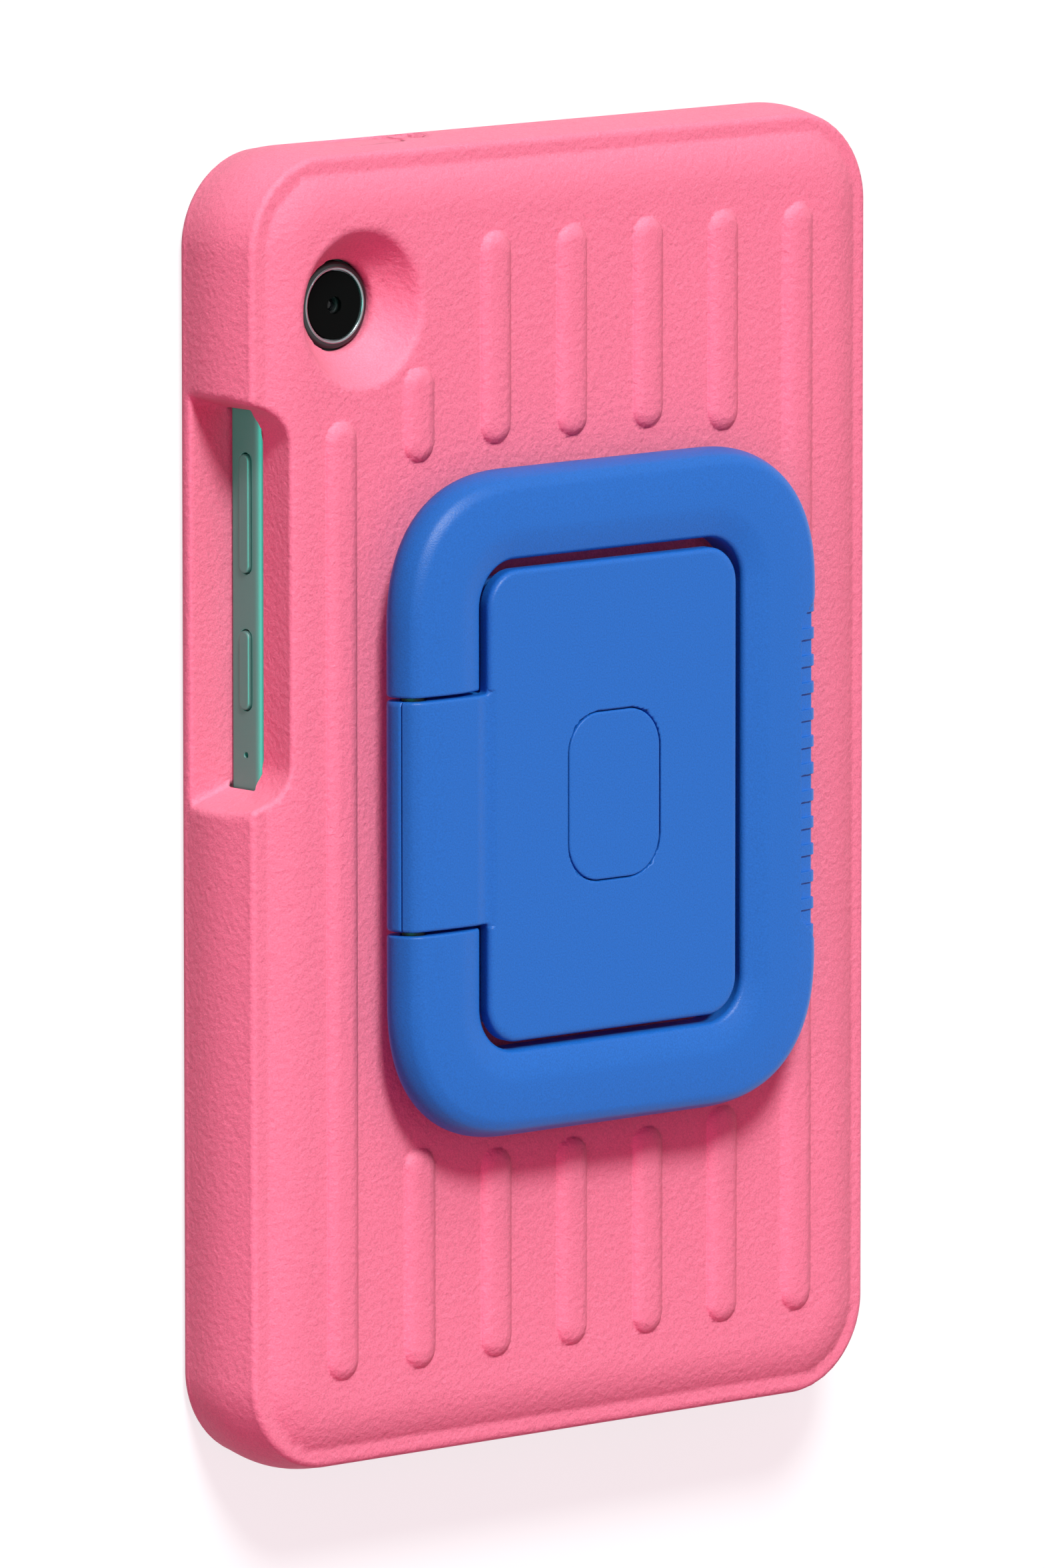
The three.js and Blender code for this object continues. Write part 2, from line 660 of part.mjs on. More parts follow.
function capPocket() {
  const outline = roundedOutline(cap.width / 2 + cap.gap, cap.height / 2 + cap.gap,
    cap.corner + cap.gap);
  return loft([[outline, loopTopZ - cap.thickness - seat], [outline, loopTopZ + 1]]);
}

function centreCap() {
  const edge = 0.3;
  const outline = (inset) => roundedOutline(cap.width / 2 - inset, cap.height / 2 - inset,
    cap.corner - inset);
  const bottom = loopTopZ - cap.thickness;
  return loft([[outline(0), bottom], [outline(0), loopTopZ - edge], [outline(edge), loopTopZ]]);
}

// Screws

function coverHeadZ() {
  return loopTopZ - cap.thickness - seat - 0.05;
}

function coverScrewTipZ() {
  return coverHeadZ() - coverScrew.length;
}

function coverScrewSolid(side, grow) {
  const top = coverHeadZ();
  const { head, radius, length } = coverScrew;
  const cone = head - radius;
  const profile = [[0, top - length - grow], [radius + grow, top - length - grow],
    [radius + grow, top - cone], [head + grow, top], [head + grow, top + grow], [0, top + grow]];
  const points = grow > 0 ? profile : profile.filter((_, i) => i !== 4);
  return turned(points, 12).translate(0, side * coverScrew.y, 0);
}

function screwTipZ() {
  return retainerTopZ() - retainer.thickness + caseScrew.length;
}

function caseScrewSolid(grow) {
  const bottom = retainerTopZ() - retainer.thickness + 0.05;
  const { head, radius } = caseScrew;
  const cone = head - radius;
  const profile = [[0, bottom - grow], [head + grow, bottom - grow], [head + grow, bottom],
    [radius + grow, bottom + cone], [radius + grow, screwTipZ()], [0, screwTipZ()]];
  return turned(grow > 0 ? profile : profile.filter((_, i) => i !== 2), 12);
}

function retainerPlate() {
  const outline = (inset) => roundedOutline(retainer.width / 2 - inset, retainer.height / 2 - inset,
    retainer.corner, 0, 0, 5);
  const bottom = retainerTopZ() - retainer.thickness;
  const body = loft([[outline(0.4), bottom], [outline(0), bottom + 0.4], [outline(0), retainerTopZ()]]);
  return cutFrom(body, screwPlaces().map(([x, y]) => caseScrewSolid(cap.gap).translate(x, y, 0)));
}

// Tablet

function tabletOutline(inset) {
  return roundedOutline(tabletX - inset, tabletY - inset, tablet.corner - inset);
}

// A rounded bar across the tablet's edge, from its side face inwards, for keys and their slots.
function keySolid(length, height, outX, inX, edge) {
  const ring = (x, inset) => roundedOutline(length / 2 - inset, height / 2 - inset,
    height / 2 - inset, 0, 0, 4).map(([u, v]) => [x, u, v]);
  return skin([ring(inX, 0), ring(outX + edge, 0), ring(outX, edge)]);
}

function keySlot(placed) {
  const inner = -tabletX + key.depth + key.travel + key.gap;
  return keySolid(placed.length + 2 * key.gap, key.height + 2 * key.gap, -tabletX - 1, inner, 0.1)
    .translate(0, placed.y, keyZ);
}

function sideKey(placed) {
  return keySolid(placed.length, key.height, -key.proud, key.depth, 0.25);
}

function endHole(side, x, halfWidth, halfHeight, depth) {
  const outline = roundedOutline(halfWidth, halfHeight, halfHeight, x, sideZ, 4);
  const ring = (reach) => outline.map(([u, v]) => [u, side * reach, v]);
  return skin([ring(tabletY - depth), ring(tabletY + 1)]);
}

function tabletHousing() {
  const r = tablet.backEdge;
  const levels = [
    [tabletOutline(0.5), screenZ],
    [tabletOutline(0), screenZ + 0.5],
    [tabletOutline(0), tabletBackZ - r],
    [tabletOutline(r * 0.13), tabletBackZ - r * 0.5],
    [tabletOutline(r * 0.5), tabletBackZ - r * 0.13],
    [tabletOutline(r), tabletBackZ],
  ];
  const recess = tabletOutline(tablet.rim);
  const floor = screenZ + screenGlass.thickness + display.thickness + seat;
  return cutFrom(loft(levels), [
    loft([[recess, screenZ - 1], [recess, floor]]),
    keySlot(volumeKey),
    keySlot(powerKey),
    turned([[0, 0], [micHole.radius, 0], [micHole.radius, 2 * micHole.depth], [0, 2 * micHole.depth]], 10)
      .rotateY(Math.PI / 2).translate(-tabletX - micHole.depth, micHole.y, keyZ),
    endHole(-1, 0, port.width / 2 + seat / 2, port.height / 2 + seat / 2, port.depth + seat),
    endHole(1, topSlot.x, jack.ring + seat / 2, jack.ring + seat / 2, jack.ringDepth + seat / 2),
    endHole(1, topSlot.x, jack.radius, jack.radius, jack.depth),
    bar(camera.front - camera.bezel - 0.6, tabletBackZ - lens.depth, tabletBackZ + 1, cameraX,
      cameraY, 24),
  ]);
}

// A plate of the screen stack, set in from the tablet's rim.
function screenPlate(from, thickness) {
  const outline = tabletOutline(tablet.rim + seat / 2);
  return loft([[outline, from], [outline, from + thickness]]);
}

function cameraRing() {
  const foot = tabletBackZ + 0.1;
  const top = tabletBackZ + camera.rise;
  const { front, foot: footRadius, bezel } = camera;
  const bore = front - bezel;
  const profile = [[bore - 0.6, foot], [footRadius, foot], [footRadius, foot + 0.8],
    [front + 0.35, top - 0.35], [front, top], [bore, top], [bore, top - 1.2], [bore - 0.6, top - 1.2]];
  profile.push(profile[0]);
  return turned(profile, 20);
}

function cameraGlass() {
  const top = tabletBackZ + camera.rise - camera.recess;
  const bore = camera.front - camera.bezel - 0.15;
  return turned([[0, top - 0.8], [bore, top - 0.8], [bore, top], [0, top]], 20);
}

function lensBarrel() {
  const top = tabletBackZ + camera.rise - camera.recess - 1;
  const bottom = tabletBackZ - lens.depth + 0.2;
  const { barrel, element } = lens;
  const profile = [[0, bottom], [barrel + 1.2, bottom], [barrel + 1.2, bottom + 1], [barrel, bottom + 1.3],
    [barrel, top], [element + 0.3, top], [element + 0.15, top - 1], [0, top - 1]];
  return turned(profile, 16);
}

function lensElement() {
  const top = tabletBackZ + camera.rise - camera.recess - 1.2;
  const { element } = lens;
  return turned([[0, top - 0.7], [element * 0.85, top - 0.7], [element, top - 0.35],
    [element * 0.6, top - 0.12], [0, top]], 16);
}

// The charging socket's metal sleeve, closed at its inner end, and the tongue inside it.
function portSleeve() {
  const outline = (inset) => roundedOutline(port.width / 2 - inset, port.height / 2 - inset,
    port.height / 2, 0, sideZ, 4);
  const ring = (inset, depth) => outline(inset).map(([u, v]) => [u, -tabletY + depth, v]);
  const t = port.shell;
  return cutFrom(skin([ring(0, 0.2), ring(0, port.depth)]), [skin([ring(t, -1), ring(t, port.depth - t)])]);
}

function portTongue() {
  const geometry = new THREE.BoxGeometry(port.width * 0.62, port.depth * 0.7, 0.7);
  const back = -tabletY + port.depth - port.shell - seat / 2;
  return geometry.translate(0, back - port.depth * 0.35, sideZ);
}

function jackRing() {
  const { radius, ring, ringDepth } = jack;
  const profile = [[radius, 0], [ring, 0], [ring, ringDepth - 0.3], [ring - 0.3, ringDepth],
    [radius, ringDepth], [radius, 0]];
  const geometry = turned(profile, 16).rotateX(-Math.PI / 2);
  return geometry.translate(topSlot.x, tabletY - ringDepth, sideZ);
}

addPiece("case_shell", caseShell(), "foam");
addPiece("handle_loop", loopSolid(), "plastic");
addPiece("handle_base", handleBase(), "plastic");
addPiece("handle_front_cover", handleCover(), "plastic");
addPiece("handle_centre_cap", centreCap(), "plastic");
addPiece("hinge_pin_upper", hingePin(1), "steel");
addPiece("hinge_pin_lower", hingePin(-1), "steel");
addPiece("cover_screw_upper", coverScrewSolid(1, 0), "steel");
addPiece("cover_screw_lower", coverScrewSolid(-1, 0), "steel");
addPiece("base_retainer_plate", retainerPlate(), "inner");
screwPlaces().forEach(([x, y], i) => {
  addPiece(`base_screw_${i + 1}`, caseScrewSolid(0), "steel", [x, y, 0]);
});

addPiece("tablet_housing", tabletHousing(), "housing");
addPiece("tablet_screen_glass", screenPlate(screenZ, screenGlass.thickness), "glass");
addPiece("tablet_display_panel",
  screenPlate(screenZ + screenGlass.thickness + seat / 2, display.thickness), "glass");
addPiece("tablet_volume_key", sideKey(volumeKey), "housing", [-tabletX, volumeKey.y, keyZ]);
addPiece("tablet_power_key", sideKey(powerKey), "housing", [-tabletX, powerKey.y, keyZ]);
addPiece("tablet_camera_ring", cameraRing(), "bezel", [cameraX, cameraY, 0]);
addPiece("tablet_camera_glass", cameraGlass(), "lensGlass", [cameraX, cameraY, 0]);
addPiece("tablet_lens_barrel", lensBarrel(), "glass", [cameraX, cameraY, 0]);
addPiece("tablet_lens_element", lensElement(), "lensGlass", [cameraX, cameraY, 0]);
addPiece("tablet_port_sleeve", portSleeve(), "steel");
addPiece("tablet_port_tongue", portTongue(), "glass");
addPiece("tablet_jack_ring", jackRing(), "steel");

export default root;
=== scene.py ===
"""Moulded foam tablet case with a fold-out loop handle, lying on its screen side.

Shapes are in millimetres and become metres when a mesh is made. The main mouldings are given as
signed distances, negative inside, so that every edge and crease gets the radius of the real one.
"""

import math

import bmesh
import bpy
import numpy as np
from mathutils import Matrix, Vector


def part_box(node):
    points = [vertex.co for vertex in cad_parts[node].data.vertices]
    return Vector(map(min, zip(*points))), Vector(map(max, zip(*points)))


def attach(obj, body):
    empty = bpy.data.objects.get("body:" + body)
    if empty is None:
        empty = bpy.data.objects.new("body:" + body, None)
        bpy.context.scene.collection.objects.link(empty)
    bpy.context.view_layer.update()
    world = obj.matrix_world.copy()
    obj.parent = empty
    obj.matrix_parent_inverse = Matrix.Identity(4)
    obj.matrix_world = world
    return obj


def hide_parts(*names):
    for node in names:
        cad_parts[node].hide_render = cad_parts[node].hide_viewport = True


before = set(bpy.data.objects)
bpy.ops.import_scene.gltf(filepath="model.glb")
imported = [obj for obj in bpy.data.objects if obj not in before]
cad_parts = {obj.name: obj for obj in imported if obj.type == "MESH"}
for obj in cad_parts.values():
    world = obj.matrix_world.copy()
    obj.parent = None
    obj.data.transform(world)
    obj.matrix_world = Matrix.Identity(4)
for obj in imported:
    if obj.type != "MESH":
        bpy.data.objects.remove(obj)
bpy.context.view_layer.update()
PER_METRE = 1000.0


def span(node):
    """Lowest and highest corner of a piece of the frame, in millimetres."""
    low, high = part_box(node)
    return np.array(low) * PER_METRE, np.array(high) * PER_METRE


# Case sizes
CASE_LOW, CASE_HIGH = span("case_shell")
BULGE = 1.1
SIDE_X = CASE_HIGH[0] - BULGE
SIDE_Y = CASE_HIGH[1] - BULGE
CASE_CORNER = 16.5
FRONT_ROUND = 3.0
RIB_HEIGHT = 1.2
PLATEAU_Z = CASE_HIGH[2] - RIB_HEIGHT
PILLOW_RISE = 2.1
PILLOW_BLEND = 9.0
LEDGE_Z = PLATEAU_Z - PILLOW_RISE
LEDGE_WIDTH = 3.2
LEDGE_EDGE = 1.2
SEAT = 0.3
LIP = 4.1
LIP_OVERLAP = 2.5
LIP_EDGE = 1.4

RIB_RADIUS = 3.5
RIB_PITCH = 17.64
RIB_END = SIDE_Y - 15.5
RIB_LOOP_GAP = 3.3

# Tablet sizes
TABLET_LOW, TABLET_HIGH = span("tablet_housing")
TABLET_X, TABLET_Y = TABLET_HIGH[:2]
TABLET_CORNER = 10.0
TABLET_RIM = 1.2
SCREEN_Z = TABLET_LOW[2]
BACK_Z = TABLET_HIGH[2]
BACK_EDGE = 1.8
CAVITY_Z = BACK_Z + SEAT
SIDE_Z = (SCREEN_Z + BACK_Z) / 2
SCREEN_RECESS = 1.8
KEY_SLOT = {"play": 0.2, "corner": 1.54, "depth": 0.9}
MIC_HOLE = {"y": 9.95, "height_share": 0.475, "radius": 0.5, "depth": 1.5}
PORT = {"half_width": 4.65, "half_height": 1.75, "corner": 1.7, "depth": 6.3}
JACK = {"x": -27.8, "ring": 2.25, "ring_depth": 1.05, "bore": 1.6, "depth": 5.0}
LENS_BORE = {"radius": 5.55, "depth": 1.5}
BEZEL_BORE = 6.2
BEZEL_LINE = 6.62

# Openings of the case
CAMERA_X, CAMERA_Y = sum(span("tablet_camera_ring"))[:2] / 2
DISH = {"rim": 13.4, "hole": 8.0, "neck": 3.2, "edge": 0.9, "rib_gap_below": 19.0,
        "rib_gap_beside": 11.0}
CUT_OUT = {"y": 37.2, "half": 32.75, "flare": 0.313, "corner": 5.0, "lean": 1.25, "edge": 0.9}
TOP_RECESS = {"x": -39.0, "width": 14.9, "height": 8.0, "corner": 2.5, "rise": 3.2, "depth": 0.7}
RETAINER_POCKET = {"half_x": 25.3, "half_y": 36.3, "corner": 5.3, "depth": 2.4}

# Slots through the end walls, at the tablet and outside: (width, height, height over its middle)
JACK_SLOT = ((5.5, 5.2, 0.0), (6.1, 8.0, 2.3))
PORT_SLOT = ((15.0, 7.4, 0.0), (17.8, 10.2, 0.0))
SPEAKER_SLOT = ((16.0, 4.6, 0.0), (16.8, 5.4, 0.0))
SPEAKER_X = 33.0

# Handle sizes
LOOP_LOW, LOOP_HIGH = span("handle_loop")
COVER_LOW, COVER_HIGH = span("handle_front_cover")
BASE_LOW, BASE_HIGH = span("handle_base")
CAP_LOW, CAP_HIGH = span("handle_centre_cap")
PLATE_X = COVER_HIGH[0]
PLATE_Y = COVER_HIGH[1]
PLATE_CORNER = 6.5
LOOP_TOP = LOOP_HIGH[2]
LOOP_REAR = LOOP_LOW[2]
LOOP_X = LOOP_HIGH[0]
LOOP_Y = LOOP_HIGH[1]
LOOP_CORNER = 26.4
LOOP_FULLNESS = 2.4
WINDOW_LEFT = -PLATE_X - 1.1
WINDOW_RIGHT = PLATE_X + 2.2
WINDOW_Y = PLATE_Y + 1.6
WINDOW_CORNER = 8.0
LOOP_SIDE = {"lean_left": 2.4, "lean_right": 1.6, "lean_change": 30.0, "upright": 2.4,
             "front": 1.1, "rear": 2.6}
CROWN = {"drop": 0.6, "reach": 8.0}
BORDER = {"width": 5.6, "depth": 1.25, "power": 1.5, "edge": 0.8}
KNUCKLE_Y = 20.1
HINGE_GAP = 0.65
HINGE_X = LOOP_LOW[0] + 4.2
HINGE_Z = (LOOP_REAR + LOOP_TOP) / 2
PIN_BORE = 2.2
PIN_REACH = 7.3
GRIP = {"half": 31.8, "depth": 0.8, "face_depth": 0.65, "reach": 5.4, "zone": 7.0, "ridge": 2.0,
        "rise": 0.6, "count": 13, "pitch": 4.8, "flank": 0.16}
BARREL_INSET = 3.0
COVER_GROOVE = {"offset": 0.5, "stretch": 1.6, "lift": 0.45, "radius": 0.95}
CAP_POCKET = {"play": 0.2, "corner": 7.2, "edge": 0.15}
CAP_CORNER = 7.0
BASE_TUB = {"corner": 5.0, "wall": 2.4, "inner_corner": 4.0, "floor": 2.5, "top_gap": 0.02}
CASE_SCREWS = {"x": 17.0, "y": 27.0, "bore": 1.8, "boss": 3.6, "boss_rise": 3.0,
               "thread": 1.7, "thread_rise": 2.4}
COVER_SCREWS = {"y": 8.5, "bore": 1.4, "boss": 3.0, "sink": 1.15, "head": 2.6, "thread_z": 25.8}


# Signed distances


def rounded_rectangle(x, y, half_x, half_y, radius, fullness=2.0):
    """A rounded rectangle. A fullness over 2 makes corners that are fuller than an arc."""
    qx = np.abs(x) - half_x + radius
    qy = np.abs(y) - half_y + radius
    px, py = np.maximum(qx, 0), np.maximum(qy, 0)
    corner = (px**fullness + py**fullness) ** (1 / fullness)
    return corner + np.minimum(np.maximum(qx, qy), 0) - radius


def both(a, b, radius=0.0):
    """What two solids share, with the edge between their faces rounded off."""
    if radius == 0:
        return np.maximum(a, b)
    u, v = np.maximum(a + radius, 0), np.maximum(b + radius, 0)
    return np.minimum(np.maximum(a, b), -radius) + np.hypot(u, v)


def either(a, b, radius=0.0):
    return -both(-a, -b, radius)


def without(a, b, radius=0.0):
    return both(a, -b, radius)


def slab(value, low, high):
    return np.maximum(low - value, value - high)


def smooth_share(t):
    t = np.clip(t, 0, 1)
    return t * t * (3 - 2 * t)


# Meshes from signed distances


def each_side(place, before, after, step):
    """The same fine stretch round a place on both sides of the middle line."""
    return (-place - after, -place + before, step), (place - before, place + after, step)


def lines(low, high, step, *fine):
    """Grid lines from low to high, closer together in each fine (from, to, step) stretch."""
    found = [low - 1.5 * step]
    while found[-1] < high + 1.5 * step:
        here = [s for a, b, s in fine if a - s <= found[-1] <= b]
        found.append(found[-1] + min([step, *here]))
    return np.array(found)


CORNERS = [(i, j, k) for i in (0, 1) for j in (0, 1) for k in (0, 1)]
CELL_EDGES = [(a, b) for a in range(8) for b in range(a + 1, 8)
              if sum(np.abs(np.subtract(CORNERS[a], CORNERS[b]))) == 1]


def slope_of(solid, points, reach=0.02):
    """The direction in which the distance grows, at each point."""
    slope = np.empty_like(points)
    for axis in range(3):
        step = np.zeros(3)
        step[axis] = reach
        ahead, behind = (points + step).T, (points - step).T
        slope[:, axis] = (solid(*ahead) - solid(*behind)) / (2 * reach)
    return slope


def moulding(name, solid, xs, ys, zs):
    """One quad for each grid edge that crosses the surface, with its corners on the surface."""
    distance = solid(*np.meshgrid(xs, ys, zs, indexing="ij"))
    inside = distance < 0
    corner_views = [inside[i:inside.shape[0] - 1 + i, j:inside.shape[1] - 1 + j,
                           k:inside.shape[2] - 1 + k] for i, j, k in CORNERS]
    filled = sum(view.astype(np.int8) for view in corner_views)
    cells = np.argwhere((filled > 0) & (filled < 8))
    number = np.full(filled.shape, -1)
    number[tuple(cells.T)] = np.arange(len(cells))

    places, values = [], []
    for offset in CORNERS:
        i, j, k = (cells + offset).T
        places.append(np.stack([xs[i], ys[j], zs[k]], axis=1))
        values.append(distance[i, j, k])
    total = np.zeros((len(cells), 3))
    count = np.zeros((len(cells), 1))
    for a, b in CELL_EDGES:
        crosses = (values[a] < 0) != (values[b] < 0)
        share = values[a][crosses] / (values[a][crosses] - values[b][crosses])
        total[crosses] += places[a][crosses] + share[:, None] * (places[b] - places[a])[crosses]
        count[crosses] += 1
    points = total / count

    size = places[7] - places[0]
    for _ in range(4):
        slope = slope_of(solid, points)
        length = np.maximum((slope**2).sum(axis=1), 0.05)
        move = slope * (solid(*points.T) / length)[:, None]
        points -= np.clip(move, -0.35 * size, 0.35 * size)

    quads = []
    for axis in range(3):
        order = (axis, (axis + 1) % 3, (axis + 2) % 3)
        signs = np.transpose(inside, order)
        ids = np.transpose(number, order)
        start, end = signs[:-1, 1:-1, 1:-1], signs[1:, 1:-1, 1:-1]
        i, j, k = np.nonzero(start != end)
        round_edge = [ids[i, j, k], ids[i, j + 1, k], ids[i, j + 1, k + 1], ids[i, j, k + 1]]
        found = np.stack(round_edge, axis=1)
        reverse = end[i, j, k]
        found[reverse] = found[reverse][:, ::-1]
        quads.append(found)
    normals = slope_of(solid, points)
    normals /= np.linalg.norm(normals, axis=1)[:, None]
    return mesh_object(name, points, np.concatenate(quads).tolist(), normals)


def mesh_object(name, points, faces, normals=None):
    mesh = bpy.data.meshes.new(name)
    mesh.from_pydata((np.asarray(points) / PER_METRE).tolist(), [], faces)
    mesh.shade_smooth()
    if normals is not None:
        mesh.normals_split_custom_set_from_vertices(normals.tolist())
    piece = bpy.data.objects.new(name, mesh)
    bpy.context.scene.collection.objects.link(piece)
    return piece


def turned(name, profile, centre, axis="Z", segments=72):
    """A lathe piece. The profile is [radius, height] points from the axis back to the axis."""
    angles = np.linspace(0, 2 * math.pi, segments, endpoint=False)
    shape = bmesh.new()
    rings = []
    for radius, height in profile:
        count = 1 if radius < 1e-6 else segments
        rings.append([shape.verts.new((radius * math.cos(a), radius * math.sin(a), height))
                      for a in angles[:count]])
    loops = list(zip(rings, rings[1:]))
    if profile[0][0] > 1e-6:
        loops.append((rings[-1], rings[0]))
    for low, high in loops:
        for i in range(segments):
            corners = [low[i % len(low)], low[(i + 1) % len(low)], high[(i + 1) % len(high)],
                       high[i % len(high)]]
            unique = list(dict.fromkeys(corners))
            if len(unique) > 2:
                shape.faces.new(unique)
    bmesh.ops.recalc_face_normals(shape, faces=shape.faces)
    mesh = bpy.data.meshes.new(name)
    shape.to_mesh(mesh)
    shape.free()
    turn = {"Z": Matrix(), "Y": Matrix.Rotation(-math.pi / 2, 4, "X"),
            "-Y": Matrix.Rotation(math.pi / 2, 4, "X")}[axis]
    mesh.transform(Matrix.Scale(1 / PER_METRE, 4) @ Matrix.Translation(centre) @ turn)
    mesh.shade_smooth()
    mesh.set_sharp_from_angle(angle=math.radians(35))
    piece = bpy.data.objects.new(name, mesh)
    bpy.context.scene.collection.objects.link(piece)
    return piece


def fillet(centre, radius, start, end, steps=5):
    """Points of an arc in a lathe profile, between two angles in degrees."""
    angles = np.radians(np.linspace(start, end, steps + 1))
    return [(centre[0] + radius * math.cos(a), centre[1] + radius * math.sin(a)) for a in angles]


# Case


def loop_edge(x):
    """Half height of the loop's outline at a distance from its middle line."""
    share = np.clip((abs(x) - (LOOP_X - LOOP_CORNER)) / LOOP_CORNER, 0, 1)
    reach = (1 - share**LOOP_FULLNESS) ** (1 / LOOP_FULLNESS)
    return LOOP_Y - LOOP_CORNER + LOOP_CORNER * reach


def rib_places():
    """Each rib as (x, lower end, upper end). They stop short of the folded loop and the dish."""
    dish_column = round(CAMERA_X / RIB_PITCH)
    places = [(dish_column * RIB_PITCH, -RIB_END, CAMERA_Y - DISH["rib_gap_below"]),
              (-dish_column * RIB_PITCH, -RIB_END, RIB_END)]
    for column in range(dish_column + 1, -dish_column):
        x = column * RIB_PITCH
        inner = loop_edge(x) + RIB_LOOP_GAP
        top = CAMERA_Y - DISH["rib_gap_beside"] if column == dish_column + 1 else RIB_END
        places += [(x, inner, top), (x, -RIB_END, -inner)]
    return places


def rib_rise(x, y):
    """Height of the ribs over the raised middle: a domed section with round ends."""
    rise = np.zeros_like(x)
    for rib_x, low, high in rib_places():
        near = np.abs(x - rib_x) < RIB_RADIUS + 1
        run = np.maximum(np.abs(y[near] - (low + high) / 2) - (high - low) / 2 + RIB_RADIUS, 0)
        inward = RIB_RADIUS - np.hypot(x[near] - rib_x, run)
        share = np.clip((inward + 0.1) / 2.9, 0, 1)
        dome = 1 - (1 - share) ** 2.6
        rise[near] = np.maximum(rise[near], RIB_HEIGHT * dome * smooth_share(share / 0.12))
    return rise


def case_body(x, y, z):
    outline = rounded_rectangle(x, y, SIDE_X, SIDE_Y, CASE_CORNER)
    side_top = LEDGE_Z - LEDGE_EDGE
    share = np.clip((z - FRONT_ROUND) / (side_top - FRONT_ROUND), 0, 1)
    side = outline - BULGE * np.sin(math.pi * share)
    slope = np.clip((-outline - LEDGE_WIDTH) / PILLOW_BLEND, 0, 1)
    top = LEDGE_Z + PILLOW_RISE * (1 - (1 - slope) ** 2.5) + rib_rise(x, y)
    return both(both(side, z - top, LEDGE_EDGE), -z, FRONT_ROUND)


def from_case_screws(x, y):
    """Distance to the nearest axis of the four screws through the foam."""
    return np.hypot(np.abs(x) - CASE_SCREWS["x"], np.abs(y) - CASE_SCREWS["y"])


def from_cover_screws(x, y):
    """Distance to the nearest axis of the two screws under the cap."""
    return np.hypot(x, np.abs(y) - COVER_SCREWS["y"])


def camera_dish(x, y, z):
    """A bowl that funnels down to the round hole in front of the tablet's camera."""
    radius = np.hypot(x - CAMERA_X, y - CAMERA_Y)
    neck_z = CAVITY_Z + DISH["neck"]
    depth = PLATEAU_Z - neck_z
    width = DISH["rim"] - DISH["hole"]
    reach = np.clip((radius - DISH["hole"]) / width, 0, 2)
    grade = 1.5 * depth / width * np.sqrt(reach)
    bowl = (neck_z + depth * reach**1.5 - z) / np.hypot(1, grade)
    return np.maximum(either(bowl, radius - DISH["hole"], 0.6), CAVITY_Z - 1 - z)


def side_cut_out(x, y, z):
    """The notch that bares the tablet's keys. Its ends splay outwards."""
    lean = CUT_OUT["lean"] * np.clip((z - CAVITY_Z) / (LEDGE_Z - CAVITY_Z), 0, 1.4)
    inner_x = -TABLET_X - lean
    wall = x - inner_x - CUT_OUT["corner"] * np.clip((CAVITY_Z - z) / SEAT, 0, 1)
    ends = np.abs(y - CUT_OUT["y"]) - CUT_OUT["half"] - CUT_OUT["flare"] * (inner_x - x)
    ends /= math.hypot(1, CUT_OUT["flare"])
    return both(both(wall, ends, CUT_OUT["corner"]), LIP - z, 0.8)


def wall_slot(x, y, z, side, centre, inner, outer):
    """A slot through an end wall, which widens from its inner to its outer size."""
    start, end = TABLET_Y + SEAT / 2, SIDE_Y + BULGE + 2
    share = np.clip((side * y - start) / (end - start), 0, 1)
    width, height, rise = (a + (b - a) * share for a, b in zip(inner, outer))
    radius = np.minimum(width, height) / 2 * 0.96
    section = rounded_rectangle(x - centre, z - SIDE_Z - rise, width / 2, height / 2, radius)
    return np.maximum(section, start - 1 - side * y)


def end_openings(x, y, z):
    """The slots for the sockets and the speakers, and the shallow panel beside the top slot."""
    slots = [wall_slot(x, y, z, 1, JACK["x"], *JACK_SLOT), wall_slot(x, y, z, -1, 0, *PORT_SLOT)]
    slots += [wall_slot(x, y, z, -1, side * SPEAKER_X, *SPEAKER_SLOT) for side in (-1, 1)]
    recess = rounded_rectangle(x - TOP_RECESS["x"], z - SIDE_Z - TOP_RECESS["rise"],
                               TOP_RECESS["width"] / 2, TOP_RECESS["height"] / 2,
                               TOP_RECESS["corner"])
    floor = SIDE_Y + BULGE - TOP_RECESS["depth"] - y
    return np.minimum.reduce([*slots, np.maximum(recess, floor)])


def tablet_room(x, y, z):
    """The tray behind the lip, the screen window, and the pocket for the retaining plate."""
    room = rounded_rectangle(x, y, TABLET_X + SEAT, TABLET_Y + SEAT, TABLET_CORNER + SEAT)
    tray = np.maximum(room, slab(z, LIP, CAVITY_Z))
    flare = LIP_EDGE * (1 - np.clip(z / (1.6 * LIP_EDGE), -0.3, 1)) ** 2
    edge = rounded_rectangle(x, y, TABLET_X - LIP_OVERLAP + flare, TABLET_Y - LIP_OVERLAP + flare,
                             TABLET_CORNER - LIP_OVERLAP + flare)
    window = np.maximum(edge, z - LIP - 0.5)
    plate = rounded_rectangle(x, y, RETAINER_POCKET["half_x"], RETAINER_POCKET["half_y"],
                              RETAINER_POCKET["corner"])
    pocket = np.maximum(plate, slab(z, CAVITY_Z - 1, CAVITY_Z + RETAINER_POCKET["depth"]))
    bores = np.maximum(from_case_screws(x, y) - CASE_SCREWS["bore"], CAVITY_Z - z)
    return np.minimum.reduce([tray, window, pocket, bores])


def case_solid(x, y, z):
    body = without(case_body(x, y, z), camera_dish(x, y, z), DISH["edge"])
    body = without(body, side_cut_out(x, y, z), CUT_OUT["edge"])
    body = without(body, end_openings(x, y, z), 0.4)
    return without(body, tablet_room(x, y, z))


